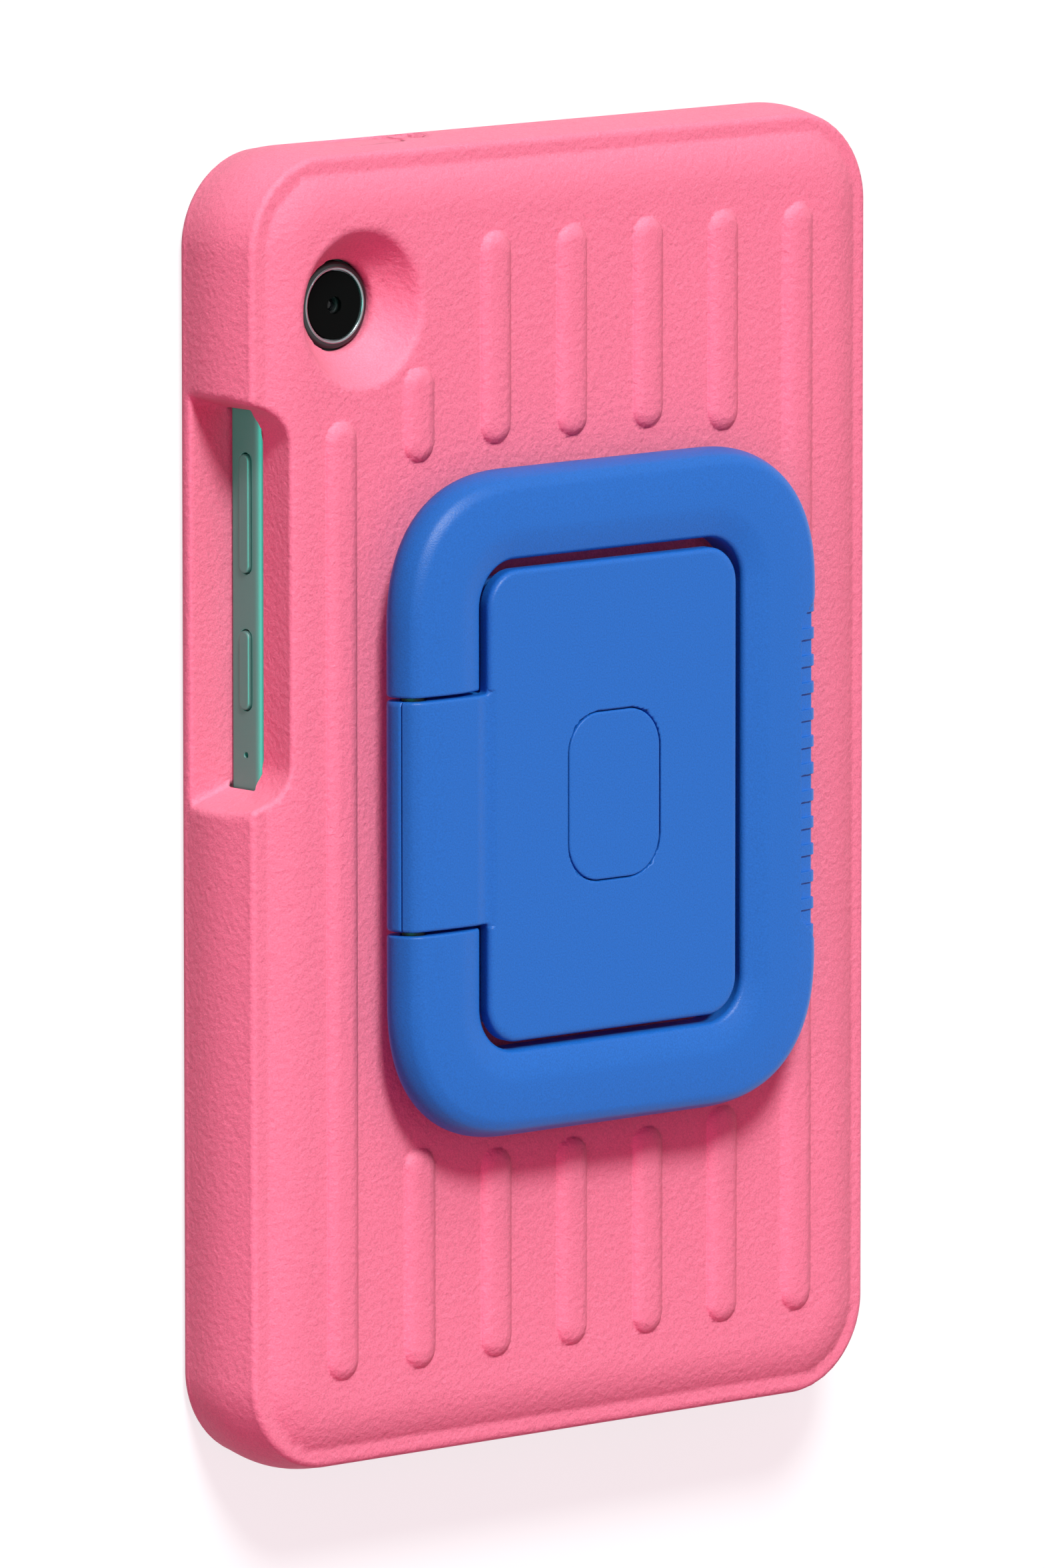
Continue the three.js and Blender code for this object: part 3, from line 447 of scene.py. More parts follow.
def make_case():
    rib_edges = [(column * RIB_PITCH + edge - 1.2, column * RIB_PITCH + edge + 1.0, 0.6)
                 for column in range(-3, 4) for edge in (-RIB_RADIUS, RIB_RADIUS)]
    first_rib = -3 * RIB_PITCH
    xs = lines(CASE_LOW[0], CASE_HIGH[0], 1.4, *rib_edges, (-73, -60, 0.85), (60, 73, 1.0),
               (first_rib - RIB_RADIUS, first_rib + RIB_RADIUS, 0.7))
    rib_ends = []
    for _, low, high in rib_places():
        rib_ends += [(low - 0.8, low + 2.2, 0.6), (high - 2.2, high + 0.8, 0.6)]
    ys = lines(CASE_LOW[1], CASE_HIGH[1], 1.35, *rib_ends)
    zs = lines(CASE_LOW[2], CASE_HIGH[2], 1.2, (19, 25, 0.6), (0, 4.5, 0.75))
    return moulding("foam_case", case_solid, xs, ys, zs)


# Loop handle


def loop_section(outer, x, z):
    """The band's leaning outer side and domed face, from the distance to its outer edge."""
    front_z = LOOP_TOP - CROWN["drop"]
    start_z = LOOP_REAR + LOOP_SIDE["upright"]
    left, right = LOOP_SIDE["lean_left"], LOOP_SIDE["lean_right"]
    across = np.clip(x / LOOP_SIDE["lean_change"], -1, 1)
    lean = (left + right) / 2 + (right - left) / 2 * across
    side = outer + lean * np.clip((z - start_z) / (front_z - start_z), 0, 1.2) ** 2
    share = np.clip((-outer - lean) / CROWN["reach"], 0, 1)
    return side, LOOP_TOP - CROWN["drop"] * (1 - share) ** 2


def window_edge(x, y):
    """Distance to the outline of the loop's window."""
    return rounded_rectangle(x - (WINDOW_LEFT + WINDOW_RIGHT) / 2, y,
                             (WINDOW_RIGHT - WINDOW_LEFT) / 2, WINDOW_Y, WINDOW_CORNER)


def grip_recess(x, y):
    """Depth of the grip along the loop's free side, with its row of ridges. Its ends are slanted,
    and it fades towards a step on the band's face."""
    inward = LOOP_X - x
    past_wall = GRIP["half"] - np.abs(y) - inward
    inside = smooth_share(past_wall / GRIP["flank"]) * smooth_share((GRIP["reach"] - inward) / 0.2)
    index = np.clip(np.round(y / GRIP["pitch"]), -(GRIP["count"] // 2), GRIP["count"] // 2)
    across = np.abs(y - index * GRIP["pitch"])
    ridge = smooth_share((GRIP["ridge"] / 2 + GRIP["flank"] / 2 - across) / GRIP["flank"])
    fade = np.clip((GRIP["reach"] - inward) / (GRIP["reach"] - LOOP_SIDE["lean_right"]), 0, 1)
    crest = (GRIP["depth"] - GRIP["rise"]) * fade
    floor = GRIP["face_depth"] + (GRIP["depth"] - GRIP["face_depth"]) * fade
    return inside * (floor + (crest - floor) * ridge)


def pin_bores(x, y, z):
    """The holes for both hinge pins, across the gaps between the loop's arms and the barrel."""
    radius = np.hypot(x - HINGE_X, z - HINGE_Z) - PIN_BORE
    middle = KNUCKLE_Y + HINGE_GAP / 2
    return np.maximum(radius, np.abs(np.abs(y) - middle) - PIN_REACH - HINGE_GAP / 2)


def loop_solid(x, y, z):
    middle_x = (LOOP_LOW[0] + LOOP_X) / 2
    outer = rounded_rectangle(x - middle_x, y, LOOP_X - middle_x, LOOP_Y, LOOP_CORNER,
                              LOOP_FULLNESS)
    inner = window_edge(x, y)
    side, face = loop_section(outer, x, z)
    dip = np.clip((BORDER["width"] - inner) / BORDER["width"], 0, 1) ** BORDER["power"]
    body = both(side, z - face + BORDER["depth"] * dip, LOOP_SIDE["front"])
    body = both(body, LOOP_REAR - z, LOOP_SIDE["rear"])
    body = body + np.where(x > LOOP_X - GRIP["zone"], grip_recess(x, y), 0)
    body = both(body, -inner, BORDER["edge"])
    hinge_side = np.maximum(x - WINDOW_LEFT - 0.5, np.abs(y) - KNUCKLE_Y - HINGE_GAP)
    body = without(body, hinge_side, 0.5)
    return without(body, pin_bores(x, y, z))


def make_loop():
    xs = lines(LOOP_LOW[0], LOOP_HIGH[0], 0.9, (LOOP_LOW[0] - 1, LOOP_LOW[0] + 3.5, 0.45),
               (LOOP_X - 6, LOOP_X + 1, 0.28), (WINDOW_LEFT - 1.5, WINDOW_LEFT + 0.5, 0.3),
               (WINDOW_RIGHT - 0.5, WINDOW_RIGHT + 1.5, 0.3))
    half_count = GRIP["count"] // 2
    flanks = [(index * GRIP["pitch"] + side - 0.3, index * GRIP["pitch"] + side + 0.3, 0.12)
              for index in range(-half_count, half_count + 1)
              for side in (-GRIP["ridge"] / 2, GRIP["ridge"] / 2)]
    ys = lines(LOOP_LOW[1], LOOP_HIGH[1], 0.7, *flanks, *each_side(GRIP["half"], 2, 1, 0.25),
               *each_side(KNUCKLE_Y + HINGE_GAP, 0.5, 1, 0.3), *each_side(WINDOW_Y, 0.6, 1, 0.3),
               *each_side(LOOP_Y, 3, 1, 0.45))
    zs = lines(LOOP_LOW[2], LOOP_HIGH[2], 0.5, (LOOP_TOP - 2.6, LOOP_TOP + 0.5, 0.28))
    return moulding("loop_handle", loop_solid, xs, ys, zs)


# Base and front cover with the hinge barrel


def barrel(x, y, z):
    """The hinge barrel between the loop's arms, with the loop's own outer side."""
    side, face = loop_section(LOOP_LOW[0] - x, x, z)
    body = both(side, z - face, LOOP_SIDE["front"])
    body = both(body, LOOP_REAR - z, LOOP_SIDE["rear"])
    body = both(body, np.abs(y) - KNUCKLE_Y, 0.6)
    return np.maximum(body, x + PLATE_X - BARREL_INSET)


def cover_solid(x, y, z):
    """The plate with the front half of the barrel, a soft groove between them and the cap's bed."""
    plate = rounded_rectangle(x, y, PLATE_X, PLATE_Y, PLATE_CORNER)
    body = both(plate, z - LOOP_TOP, 1.0)
    body = both(body, COVER_LOW[2] - z, 0.3)
    front = both(barrel(x, y, z), COVER_LOW[2] - z, 0.05)
    body = np.maximum(either(body, front, 0.5), z - LOOP_TOP)
    groove_x = -PLATE_X - COVER_GROOVE["offset"]
    groove = np.hypot((x - groove_x) / COVER_GROOVE["stretch"], z - LOOP_TOP - COVER_GROOVE["lift"])
    groove -= COVER_GROOVE["radius"]
    body = without(body, np.maximum(groove, np.abs(y) - KNUCKLE_Y - 0.4), 0.5)
    pocket = rounded_rectangle(x, y, CAP_HIGH[0] + CAP_POCKET["play"],
                               CAP_HIGH[1] + CAP_POCKET["play"], CAP_POCKET["corner"])
    body = without(body, np.maximum(pocket, CAP_LOW[2] - SEAT - z), CAP_POCKET["edge"])
    head_z = CAP_LOW[2] - SEAT - 0.05
    cone = np.clip(COVER_SCREWS["bore"] + z - head_z + COVER_SCREWS["sink"], COVER_SCREWS["bore"],
                   COVER_SCREWS["head"])
    body = without(body, from_cover_screws(x, y) - cone)
    return without(body, pin_bores(x, y, z))


def make_cover():
    left = COVER_LOW[0]
    xs = lines(left, COVER_HIGH[0], 1.1, (left - 1, left + 3, 0.45),
               (-PLATE_X - 2, -PLATE_X + 2, 0.35), (PLATE_X - 1.5, PLATE_X + 1, 0.35),
               *each_side(CAP_HIGH[0], 0.4, 0.8, 0.25))
    ys = lines(COVER_LOW[1], COVER_HIGH[1], 0.9, *each_side(PLATE_Y, 1.0, 1.0, 0.3),
               *each_side(KNUCKLE_Y, 1.0, 1.0, 0.3), *each_side(CAP_HIGH[1], 1.0, 1.0, 0.3))
    zs = lines(COVER_LOW[2], COVER_HIGH[2], 0.35)
    return moulding("handle_cover", cover_solid, xs, ys, zs)


def base_solid(x, y, z):
    """A tub with bosses for the screws and the rear half of the barrel."""
    half_x, half_y = BASE_HIGH[0], BASE_HIGH[1]
    outline = rounded_rectangle(x, y, half_x, half_y, BASE_TUB["corner"])
    block = both(outline, BASE_LOW[2] - z, 0.6)
    hollow = rounded_rectangle(x, y, half_x - BASE_TUB["wall"], half_y - BASE_TUB["wall"],
                               BASE_TUB["inner_corner"])
    floor_z = BASE_LOW[2] + BASE_TUB["floor"]
    body = without(block, np.maximum(hollow, floor_z - z))
    case_screws, cover_screws = from_case_screws(x, y), from_cover_screws(x, y)
    case_bosses = np.maximum(case_screws - CASE_SCREWS["boss"],
                             slab(z, floor_z - 0.5, floor_z + CASE_SCREWS["boss_rise"]))
    cover_bosses = np.maximum(cover_screws - COVER_SCREWS["boss"], floor_z - 0.5 - z)
    body = np.minimum.reduce([body, case_bosses, cover_bosses])
    body = either(body, np.maximum(barrel(x, y, z), x + half_x - 1.2), 0.3)
    body = both(body, z - COVER_LOW[2] + BASE_TUB["top_gap"], 0.3)
    case_threads = np.maximum(case_screws - CASE_SCREWS["thread"],
                              z - floor_z - CASE_SCREWS["thread_rise"])
    cover_threads = np.maximum(cover_screws - COVER_SCREWS["bore"], COVER_SCREWS["thread_z"] - z)
    body = without(without(body, case_threads), cover_threads)
    return without(body, pin_bores(x, y, z))


def make_base():
    left = BASE_LOW[0]
    xs = lines(left, BASE_HIGH[0], 1.1, (left - 1, left + 3, 0.5))
    ys = lines(BASE_LOW[1], BASE_HIGH[1], 1.1, *each_side(KNUCKLE_Y, 1, 1, 0.4))
    zs = lines(BASE_LOW[2], BASE_HIGH[2], 0.6)
    return moulding("handle_bed", base_solid, xs, ys, zs)


def make_cap():
    def solid(x, y, z):
        outline = rounded_rectangle(x, y, CAP_HIGH[0], CAP_HIGH[1], CAP_CORNER)
        return both(both(outline, z - CAP_HIGH[2], 0.3), CAP_LOW[2] - z)

    xs = lines(CAP_LOW[0], CAP_HIGH[0], 0.5)
    ys = lines(CAP_LOW[1], CAP_HIGH[1], 0.5)
    zs = lines(CAP_LOW[2], CAP_HIGH[2], 0.2)
    return moulding("centre_cap", solid, xs, ys, zs)


# Tablet


def housing_solid(x, y, z):
    """The tablet's metal body, open for the screen, keys, microphone, sockets and camera."""
    outline = rounded_rectangle(x, y, TABLET_X, TABLET_Y, TABLET_CORNER)
    body = both(both(outline, z - BACK_Z, BACK_EDGE), SCREEN_Z - z, 0.5)
    screen = rounded_rectangle(x, y, TABLET_X - TABLET_RIM, TABLET_Y - TABLET_RIM,
                               TABLET_CORNER - TABLET_RIM)
    body = without(body, np.maximum(screen, z - SCREEN_Z - SCREEN_RECESS), 0.1)
    for key in ("tablet_volume_key", "tablet_power_key"):
        low, high = span(key)
        half_long = (high[1] - low[1]) / 2 + KEY_SLOT["play"]
        half_wide = (high[2] - low[2]) / 2 + KEY_SLOT["play"]
        slot = rounded_rectangle(y - (low[1] + high[1]) / 2, z - (low[2] + high[2]) / 2,
                                 half_long, half_wide, KEY_SLOT["corner"])
        body = without(body, np.maximum(slot, x - high[0] - KEY_SLOT["depth"]), 0.1)
    mic_z = SCREEN_Z + MIC_HOLE["height_share"] * (BACK_Z - SCREEN_Z)
    mic = np.hypot(y - MIC_HOLE["y"], z - mic_z) - MIC_HOLE["radius"]
    body = without(body, np.maximum(mic, x + TABLET_X - MIC_HOLE["depth"]), 0.1)
    port = rounded_rectangle(x, z - SIDE_Z, PORT["half_width"], PORT["half_height"], PORT["corner"])
    body = without(body, np.maximum(port, y + TABLET_Y - PORT["depth"]), 0.1)
    jack = np.hypot(x - JACK["x"], z - SIDE_Z)
    body = without(body, np.maximum(jack - JACK["ring"], TABLET_Y - JACK["ring_depth"] - y))
    body = without(body, np.maximum(jack - JACK["bore"], TABLET_Y - JACK["depth"] - y))
    lens = np.hypot(x - CAMERA_X, y - CAMERA_Y) - LENS_BORE["radius"]
    return without(body, np.maximum(lens, BACK_Z - LENS_BORE["depth"] - z))


def make_housing():
    """The grid is finer at the sides, the camera and the jack, and at the microphone and the ends
    of the keys."""
    xs = lines(TABLET_LOW[0], TABLET_HIGH[0], 2.0, (-TABLET_X - 1, -TABLET_X + 3, 0.35),
               (TABLET_X - 3, TABLET_X + 1, 0.5), (-54, -41, 0.7), (-31, -25, 0.5))
    ys = lines(TABLET_LOW[1], TABLET_HIGH[1], 1.6, (-TABLET_Y - 1, -TABLET_Y + 3, 0.5),
               (TABLET_Y - 3, TABLET_Y + 1, 0.5), (8, 12, 0.2), (16, 19, 0.3), (30, 33, 0.3),
               (40, 43, 0.3), (61, 64, 0.3))
    zs = lines(TABLET_LOW[2], TABLET_HIGH[2], 0.35)
    return moulding("tablet_body", housing_solid, xs, ys, zs)


def make_screen():
    low, high = span("tablet_screen_glass")

    def solid(x, y, z):
        outline = rounded_rectangle(x, y, high[0], high[1], TABLET_CORNER - TABLET_RIM - 0.15)
        return both(both(outline, low[2] - z, 0.2), z - high[2])

    xs = lines(low[0], high[0], 3.0, (low[0] - 1, low[0] + 9, 0.7), (high[0] - 9, high[0] + 1, 0.7))
    ys = lines(low[1], high[1], 3.0, (low[1] - 1, low[1] + 9, 0.7), (high[1] - 9, high[1] + 1, 0.7))
    return moulding("screen_glass", solid, xs, ys, lines(low[2], high[2], 0.12))


def make_key(node, name):
    """A key's bar, a little rounded where a finger presses it."""
    low, high = span(node)
    middle = (low + high) / 2

    def solid(x, y, z):
        bar = rounded_rectangle(y - middle[1], z - middle[2], (high[1] - low[1]) / 2,
                                (high[2] - low[2]) / 2, (high[2] - low[2]) / 2 - 0.01)
        return both(both(bar, low[0] - x, 0.35), x - high[0], 0.1)

    fine = 0.16
    xs, zs = lines(low[0], high[0], fine), lines(low[2], high[2], fine)
    ys = lines(low[1], high[1], 0.5, (low[1] - 1, low[1] + 1.6, fine),
               (high[1] - 1.6, high[1] + 1, fine))
    return moulding(name, solid, xs, ys, zs)


def make_camera_ring():
    low, high = span("tablet_camera_ring")
    foot, top, bore = low[2], high[2], BEZEL_BORE
    profile = [(bore - 0.6, foot), (7.6, foot), (7.7, foot + 0.1), (7.7, foot + 0.7),
               (7.6, foot + 0.8)]
    profile += fillet((6.75, top - 1.0), 0.85, 0, 80, 6)
    profile += [(BEZEL_LINE, top - 0.1), (BEZEL_LINE - 0.12, top), (bore + 0.08, top - 0.05),
                (bore, top - 0.13), (bore, top - 1.2), (bore - 0.6, top - 1.2)]
    return turned("camera_bezel", profile, (CAMERA_X, CAMERA_Y, 0), segments=96)


def make_camera_glass():
    low, high = span("tablet_camera_glass")
    edge = high[0] - CAMERA_X
    profile = [(0, low[2]), (edge, low[2]), (edge, high[2] - 0.15), (edge - 0.15, high[2]),
               (0, high[2])]
    return turned("camera_cover_glass", profile, (CAMERA_X, CAMERA_Y, 0), segments=96)


def make_lens_barrel():
    low, high = span("tablet_lens_barrel")
    bottom, top = low[2], high[2]
    profile = [(0, bottom), (3.25, bottom), (3.25, bottom + 1), (2.05, bottom + 1.3),
               (2.05, top - 0.1), (1.95, top), (1.35, top), (1.3, top - 0.05), (1.2, top - 1),
               (0, top - 1)]
    return turned("lens_barrel", profile, (CAMERA_X, CAMERA_Y, 0))


def make_lens():
    low, high = span("tablet_lens_element")
    edge = high[0] - CAMERA_X
    dome = fillet((0, high[2] - 2.2), 2.2, 62, 90, 6)
    profile = [(0, low[2]), (edge * 0.85, low[2]), (edge, low[2] + 0.3), *dome[:-1], (0, high[2])]
    return turned("lens_element", profile, (CAMERA_X, CAMERA_Y, 0), segments=48)


# Hidden pins and screws


def make_pin(node, name, axis):
    """A plain hinge pin with rounded ends, along +Y or -Y from the middle of the handle."""
    low, high = span(node)
    start, end = sorted((abs(low[1]), abs(high[1])))
    middle_radius, edge = 1.6, 0.4
    profile = [(0, start), *fillet((middle_radius, start + edge), edge, -90, 0, 3),
               *fillet((middle_radius, end - edge), edge, 0, 90, 3), (0, end)]
    return turned(name, profile, (HINGE_X, 0, HINGE_Z), axis, 48)


def screw_profile(low, high, radius, head, cone):
    """A countersunk screw, head down, with rolled threads."""
    profile = [(0, low + 1.0), (0.7, low + 1.0), (0.8, low), (head - 0.1, low), (head, low + 0.1),
               (radius, low + cone)]
    pitch = 0.9
    turns = int((high - low - cone - 1.2) / pitch)
    for i in range(turns):
        z = low + cone + 0.3 + i * pitch
        root = radius - 0.25
        profile += [(root, z), (radius, z + pitch * 0.45), (root, z + pitch * 0.9)]
    return [*profile, (radius - 0.3, high - 0.6), (0.2, high), (0, high)]


def screw_tree(name, screw, material):
    """Geometry Nodes: a screw at each corner of a rectangle, or at both ends of a line."""
    tree = bpy.data.node_groups.new(name, "GeometryNodeTree")
    for label, default in (("Spacing X", 0.034), ("Spacing Y", 0.054)):
        socket = tree.interface.new_socket(label, in_out="INPUT", socket_type="NodeSocketFloat")
        socket.default_value = default
    columns = tree.interface.new_socket("Columns", in_out="INPUT", socket_type="NodeSocketInt")
    columns.default_value = 2
    tree.interface.new_socket("Geometry", in_out="OUTPUT", socket_type="NodeSocketGeometry")
    sizes = tree.nodes.new("NodeGroupInput")
    grid = tree.nodes.new("GeometryNodeMeshGrid")
    grid.inputs["Vertices Y"].default_value = 2
    source = tree.nodes.new("GeometryNodeObjectInfo")
    source.inputs["Object"].default_value = screw
    copies = tree.nodes.new("GeometryNodeInstanceOnPoints")
    realize = tree.nodes.new("GeometryNodeRealizeInstances")
    paint = tree.nodes.new("GeometryNodeSetMaterial")
    paint.inputs["Material"].default_value = material
    result = tree.nodes.new("NodeGroupOutput")
    link = tree.links.new
    link(sizes.outputs["Spacing X"], grid.inputs["Size X"])
    link(sizes.outputs["Spacing Y"], grid.inputs["Size Y"])
    link(sizes.outputs["Columns"], grid.inputs["Vertices X"])
    link(grid.outputs["Mesh"], copies.inputs["Points"])
    link(source.outputs["Geometry"], copies.inputs["Instance"])
    link(copies.outputs["Instances"], realize.inputs["Geometry"])
    link(realize.outputs["Geometry"], paint.inputs["Geometry"])
    link(paint.outputs["Geometry"], result.inputs["Geometry"])
    return tree


def screw_set(name, profile, material, spacing_x, spacing_y, columns):
    """The screws as one plain mesh, taken from what the tree makes."""
    screw = turned(name + "_one", profile, (0, 0, 0), segments=28)
    carrier = mesh_object(name + "_carrier", [(0, 0, 0)], [])
    modifier = carrier.modifiers.new("screws", "NODES")
    tree = screw_tree(name + "_tree", screw, material)
    modifier.node_group = tree
    wanted = {"Spacing X": spacing_x / PER_METRE, "Spacing Y": spacing_y / PER_METRE,
              "Columns": columns}
    for item in tree.interface.items_tree:
        if item.item_type == "SOCKET" and item.in_out == "INPUT":
            modifier[item.identifier] = wanted[item.name]
    bpy.context.view_layer.update()
    shown = carrier.evaluated_get(bpy.context.evaluated_depsgraph_get())
    mesh = bpy.data.meshes.new_from_object(shown)
    bpy.data.objects.remove(carrier)
    bpy.data.objects.remove(screw)
    mesh.name = name
    piece = bpy.data.objects.new(name, mesh)
    bpy.context.scene.collection.objects.link(piece)
    return piece


# Finishes


def shader_group(name, inputs, outputs):
    """A node group with its inputs and outputs. An input without a value takes a vector."""
    tree = bpy.data.node_groups.new(name, "ShaderNodeTree")
    for label, value in inputs.items():
        kind = "NodeSocketVector" if value is None else "NodeSocketFloat"
        socket = tree.interface.new_socket(label, in_out="INPUT", socket_type=kind)
        if value is not None:
            socket.default_value = value
    for label in outputs:
        tree.interface.new_socket(label, in_out="OUTPUT", socket_type="NodeSocketFloat")
    return tree, tree.nodes.new("NodeGroupInput"), tree.nodes.new("NodeGroupOutput")


def maths(tree, operation, first, second):
    """The output of a Math node. Each of its two inputs is a number or another node's output."""
    node = tree.nodes.new("ShaderNodeMath")
    node.operation = operation
    for socket, value in zip(node.inputs, (first, second)):
        if isinstance(value, (int, float)):
            socket.default_value = value
        else:
            tree.links.new(value, socket)
    return node.outputs[0]


def noise(tree, vector, scale, detail=2.0, roughness=0.5):
    node = tree.nodes.new("ShaderNodeTexNoise")
    node.inputs["Detail"].default_value = detail
    node.inputs["Roughness"].default_value = roughness
    tree.links.new(vector, node.inputs["Vector"])
    tree.links.new(scale, node.inputs["Scale"])
    return node


def leather_group():
    """Skin of moulded foam: soft crinkles of one cell size, broken up by finer noise."""
    tree, given, made = shader_group("leathery_skin", {"Vector": None, "Cell": 1.2, "Warp": 0.6},
                                     ("Height", "Drift"))
    scale = maths(tree, "DIVIDE", PER_METRE, given.outputs["Cell"])
    slow = maths(tree, "MULTIPLY", scale, 0.5)
    bend = noise(tree, given.outputs["Vector"], slow)
    shift = tree.nodes.new("ShaderNodeVectorMath")
    shift.operation = "SCALE"
    tree.links.new(bend.outputs["Color"], shift.inputs[0])
    reach = maths(tree, "DIVIDE", given.outputs["Warp"], scale)
    tree.links.new(reach, shift.inputs["Scale"])
    moved = tree.nodes.new("ShaderNodeVectorMath")
    tree.links.new(given.outputs["Vector"], moved.inputs[0])
    tree.links.new(shift.outputs[0], moved.inputs[1])
    cells = tree.nodes.new("ShaderNodeTexVoronoi")
    cells.feature = "SMOOTH_F1"
    cells.inputs["Smoothness"].default_value = 0.7
    tree.links.new(moved.outputs[0], cells.inputs["Vector"])
    tree.links.new(scale, cells.inputs["Scale"])
    fine = noise(tree, moved.outputs[0], maths(tree, "MULTIPLY", scale, 1.7), 3.0)
    body = maths(tree, "MULTIPLY", cells.outputs["Distance"], 0.55)
    detail = maths(tree, "MULTIPLY", fine.outputs[0], 0.6)
    tree.links.new(maths(tree, "ADD", body, detail), made.inputs["Height"])
    drift = noise(tree, given.outputs["Vector"], maths(tree, "MULTIPLY", scale, 0.06), 3.0)
    tree.links.new(drift.outputs[0], made.inputs["Drift"])
    return tree


def speckle_group():
    """Fine spark-eroded texture of a mould, as a height and as a slight change of tone."""
    tree, given, made = shader_group("mould_texture", {"Vector": None, "Grain": 0.25, "Tone": 0.05},
                                     ("Height", "Shade"))
    scale = maths(tree, "DIVIDE", PER_METRE, given.outputs["Grain"])
    fine = noise(tree, given.outputs["Vector"], scale, 2.0, 0.6)
    tree.links.new(fine.outputs[0], made.inputs["Height"])
    centred = maths(tree, "SUBTRACT", fine.outputs[0], 0.5)
    swing = maths(tree, "MULTIPLY", centred, maths(tree, "MULTIPLY", given.outputs["Tone"], 2.0))
    tree.links.new(maths(tree, "ADD", swing, 1.0), made.inputs["Shade"])
    return tree


LEATHER = leather_group()
SPECKLE = speckle_group()


def finish(name, colour, roughness, metallic=0.0, specular=0.5):
    """A Principled material with its object coordinates. Returns it with its tree and shader."""
    material = bpy.data.materials.new(name)
    material.use_nodes = True
    tree = material.node_tree
    shader = tree.nodes["Principled BSDF"]
    shader.inputs["Base Color"].default_value = (*colour, 1)
    shader.inputs["Roughness"].default_value = roughness
    shader.inputs["Metallic"].default_value = metallic
    shader.inputs["Specular IOR Level"].default_value = specular
    place = tree.nodes.new("ShaderNodeTexCoord").outputs["Object"]
    return material, tree, shader, place


def place_group(tree, group, vector, **values):
    node = tree.nodes.new("ShaderNodeGroup")
    node.node_tree = group
    tree.links.new(vector, node.inputs["Vector"])
    for label, value in values.items():
        node.inputs[label].default_value = value
    return node


def bump(tree, shader, height, distance, below=None):
    """A relief of a height in millimetres, which may lie on top of another one below it."""
    node = tree.nodes.new("ShaderNodeBump")
    node.inputs["Distance"].default_value = distance / PER_METRE
    tree.links.new(height, node.inputs["Height"])
    if below is not None:
        tree.links.new(below.outputs["Normal"], node.inputs["Normal"])
    tree.links.new(node.outputs["Normal"], shader.inputs["Normal"])
    return node


def shaded(tree, shader, colour, shade):
    """The base colour, multiplied by a shade that changes over the surface."""
    node = tree.nodes.new("ShaderNodeVectorMath")
    node.operation = "SCALE"
    node.inputs[0].default_value = colour
    tree.links.new(shade, node.inputs["Scale"])
    tree.links.new(node.outputs[0], shader.inputs["Base Color"])


def foam_finish(colour):
    """Matte foam with crinkled skin, fine grain and a slow drift of its tone."""
    material, tree, shader, place = finish("pink_foam", colour, 0.62, specular=0.42)
    skin = place_group(tree, LEATHER, place, Cell=1.25, Warp=0.7)
    grain = place_group(tree, SPECKLE, place, Grain=0.32, Tone=0.3)
    low = bump(tree, shader, skin.outputs["Height"], 0.2)
    bump(tree, shader, grain.outputs["Height"], 0.06, below=low)
    drift = maths(tree, "MULTIPLY", maths(tree, "SUBTRACT", skin.outputs["Drift"], 0.5), 0.08)
    shaded(tree, shader, colour, maths(tree, "ADD", grain.outputs["Shade"], drift))
    rough = maths(tree, "MULTIPLY", skin.outputs["Height"], 0.2)
    tree.links.new(maths(tree, "ADD", rough, 0.5), shader.inputs["Roughness"])
    return material


def plastic_finish(name, colour):
    """Hard plastic with the fine grain of its mould."""
    material, tree, shader, place = finish(name, colour, 0.48, specular=0.3)
    texture = place_group(tree, SPECKLE, place, Grain=0.3, Tone=0.3)
    bump(tree, shader, texture.outputs["Height"], 0.045)
    shaded(tree, shader, colour, texture.outputs["Shade"])
    rough = maths(tree, "MULTIPLY", texture.outputs["Height"], 0.2)
    tree.links.new(maths(tree, "ADD", rough, 0.3), shader.inputs["Roughness"])
    return material


def metal_finish(name, colour, roughness, metallic, grain, depth):
    """Blasted or drawn metal: faint grain in its relief, tone and gloss."""
    material, tree, shader, place = finish(name, colour, roughness, metallic)
    texture = place_group(tree, SPECKLE, place, Grain=grain, Tone=0.08)
    bump(tree, shader, texture.outputs["Height"], depth)
    shaded(tree, shader, colour, texture.outputs["Shade"])
    rough = maths(tree, "MULTIPLY", texture.outputs["Height"], 0.15)
    tree.links.new(maths(tree, "ADD", rough, roughness - 0.07), shader.inputs["Roughness"])
    return material


def glass_finish(name, colour, roughness):
    """Dark coated glass, with faint smears in its gloss."""
    material, tree, shader, place = finish(name, colour, roughness)
    smear = place_group(tree, LEATHER, place, Cell=9.0, Warp=1.0)
    amount = maths(tree, "MULTIPLY", smear.outputs["Height"], 0.05)
    tree.links.new(maths(tree, "ADD", amount, roughness), shader.inputs["Roughness"])
    return material


FOAM = foam_finish((0.8, 0.21, 0.305))
PLASTIC = plastic_finish("blue_plastic", (0.014, 0.184, 0.64))
INNER = plastic_finish("inner_blue_plastic", (0.02, 0.12, 0.42))
HOUSING = metal_finish("grey_housing", (0.108, 0.152, 0.15), 0.42, 0.35, 0.2, 0.006)
STEEL = metal_finish("bright_steel", (0.5, 0.5, 0.52), 0.28, 1.0, 0.4, 0.004)
# Steel for the hinge pins, made near-black as painted shade: where the pins show in the hinge gaps,
# their colour stands in for the gaps' shadow.
GAP_SHADE_STEEL = metal_finish("steel_painted_gap_shade", (0.012, 0.012, 0.016), 0.6, 0.5, 0.4, 0.004)
BLACK = plastic_finish("black_plastic", (0.008, 0.008, 0.01))
BARREL = plastic_finish("lens_barrel_black", (0.02, 0.02, 0.021))
GLASS = glass_finish("black_glass", (0.004, 0.004, 0.005), 0.06)
LENS_GLASS = glass_finish("lens_glass", (0.006, 0.006, 0.008), 0.05)


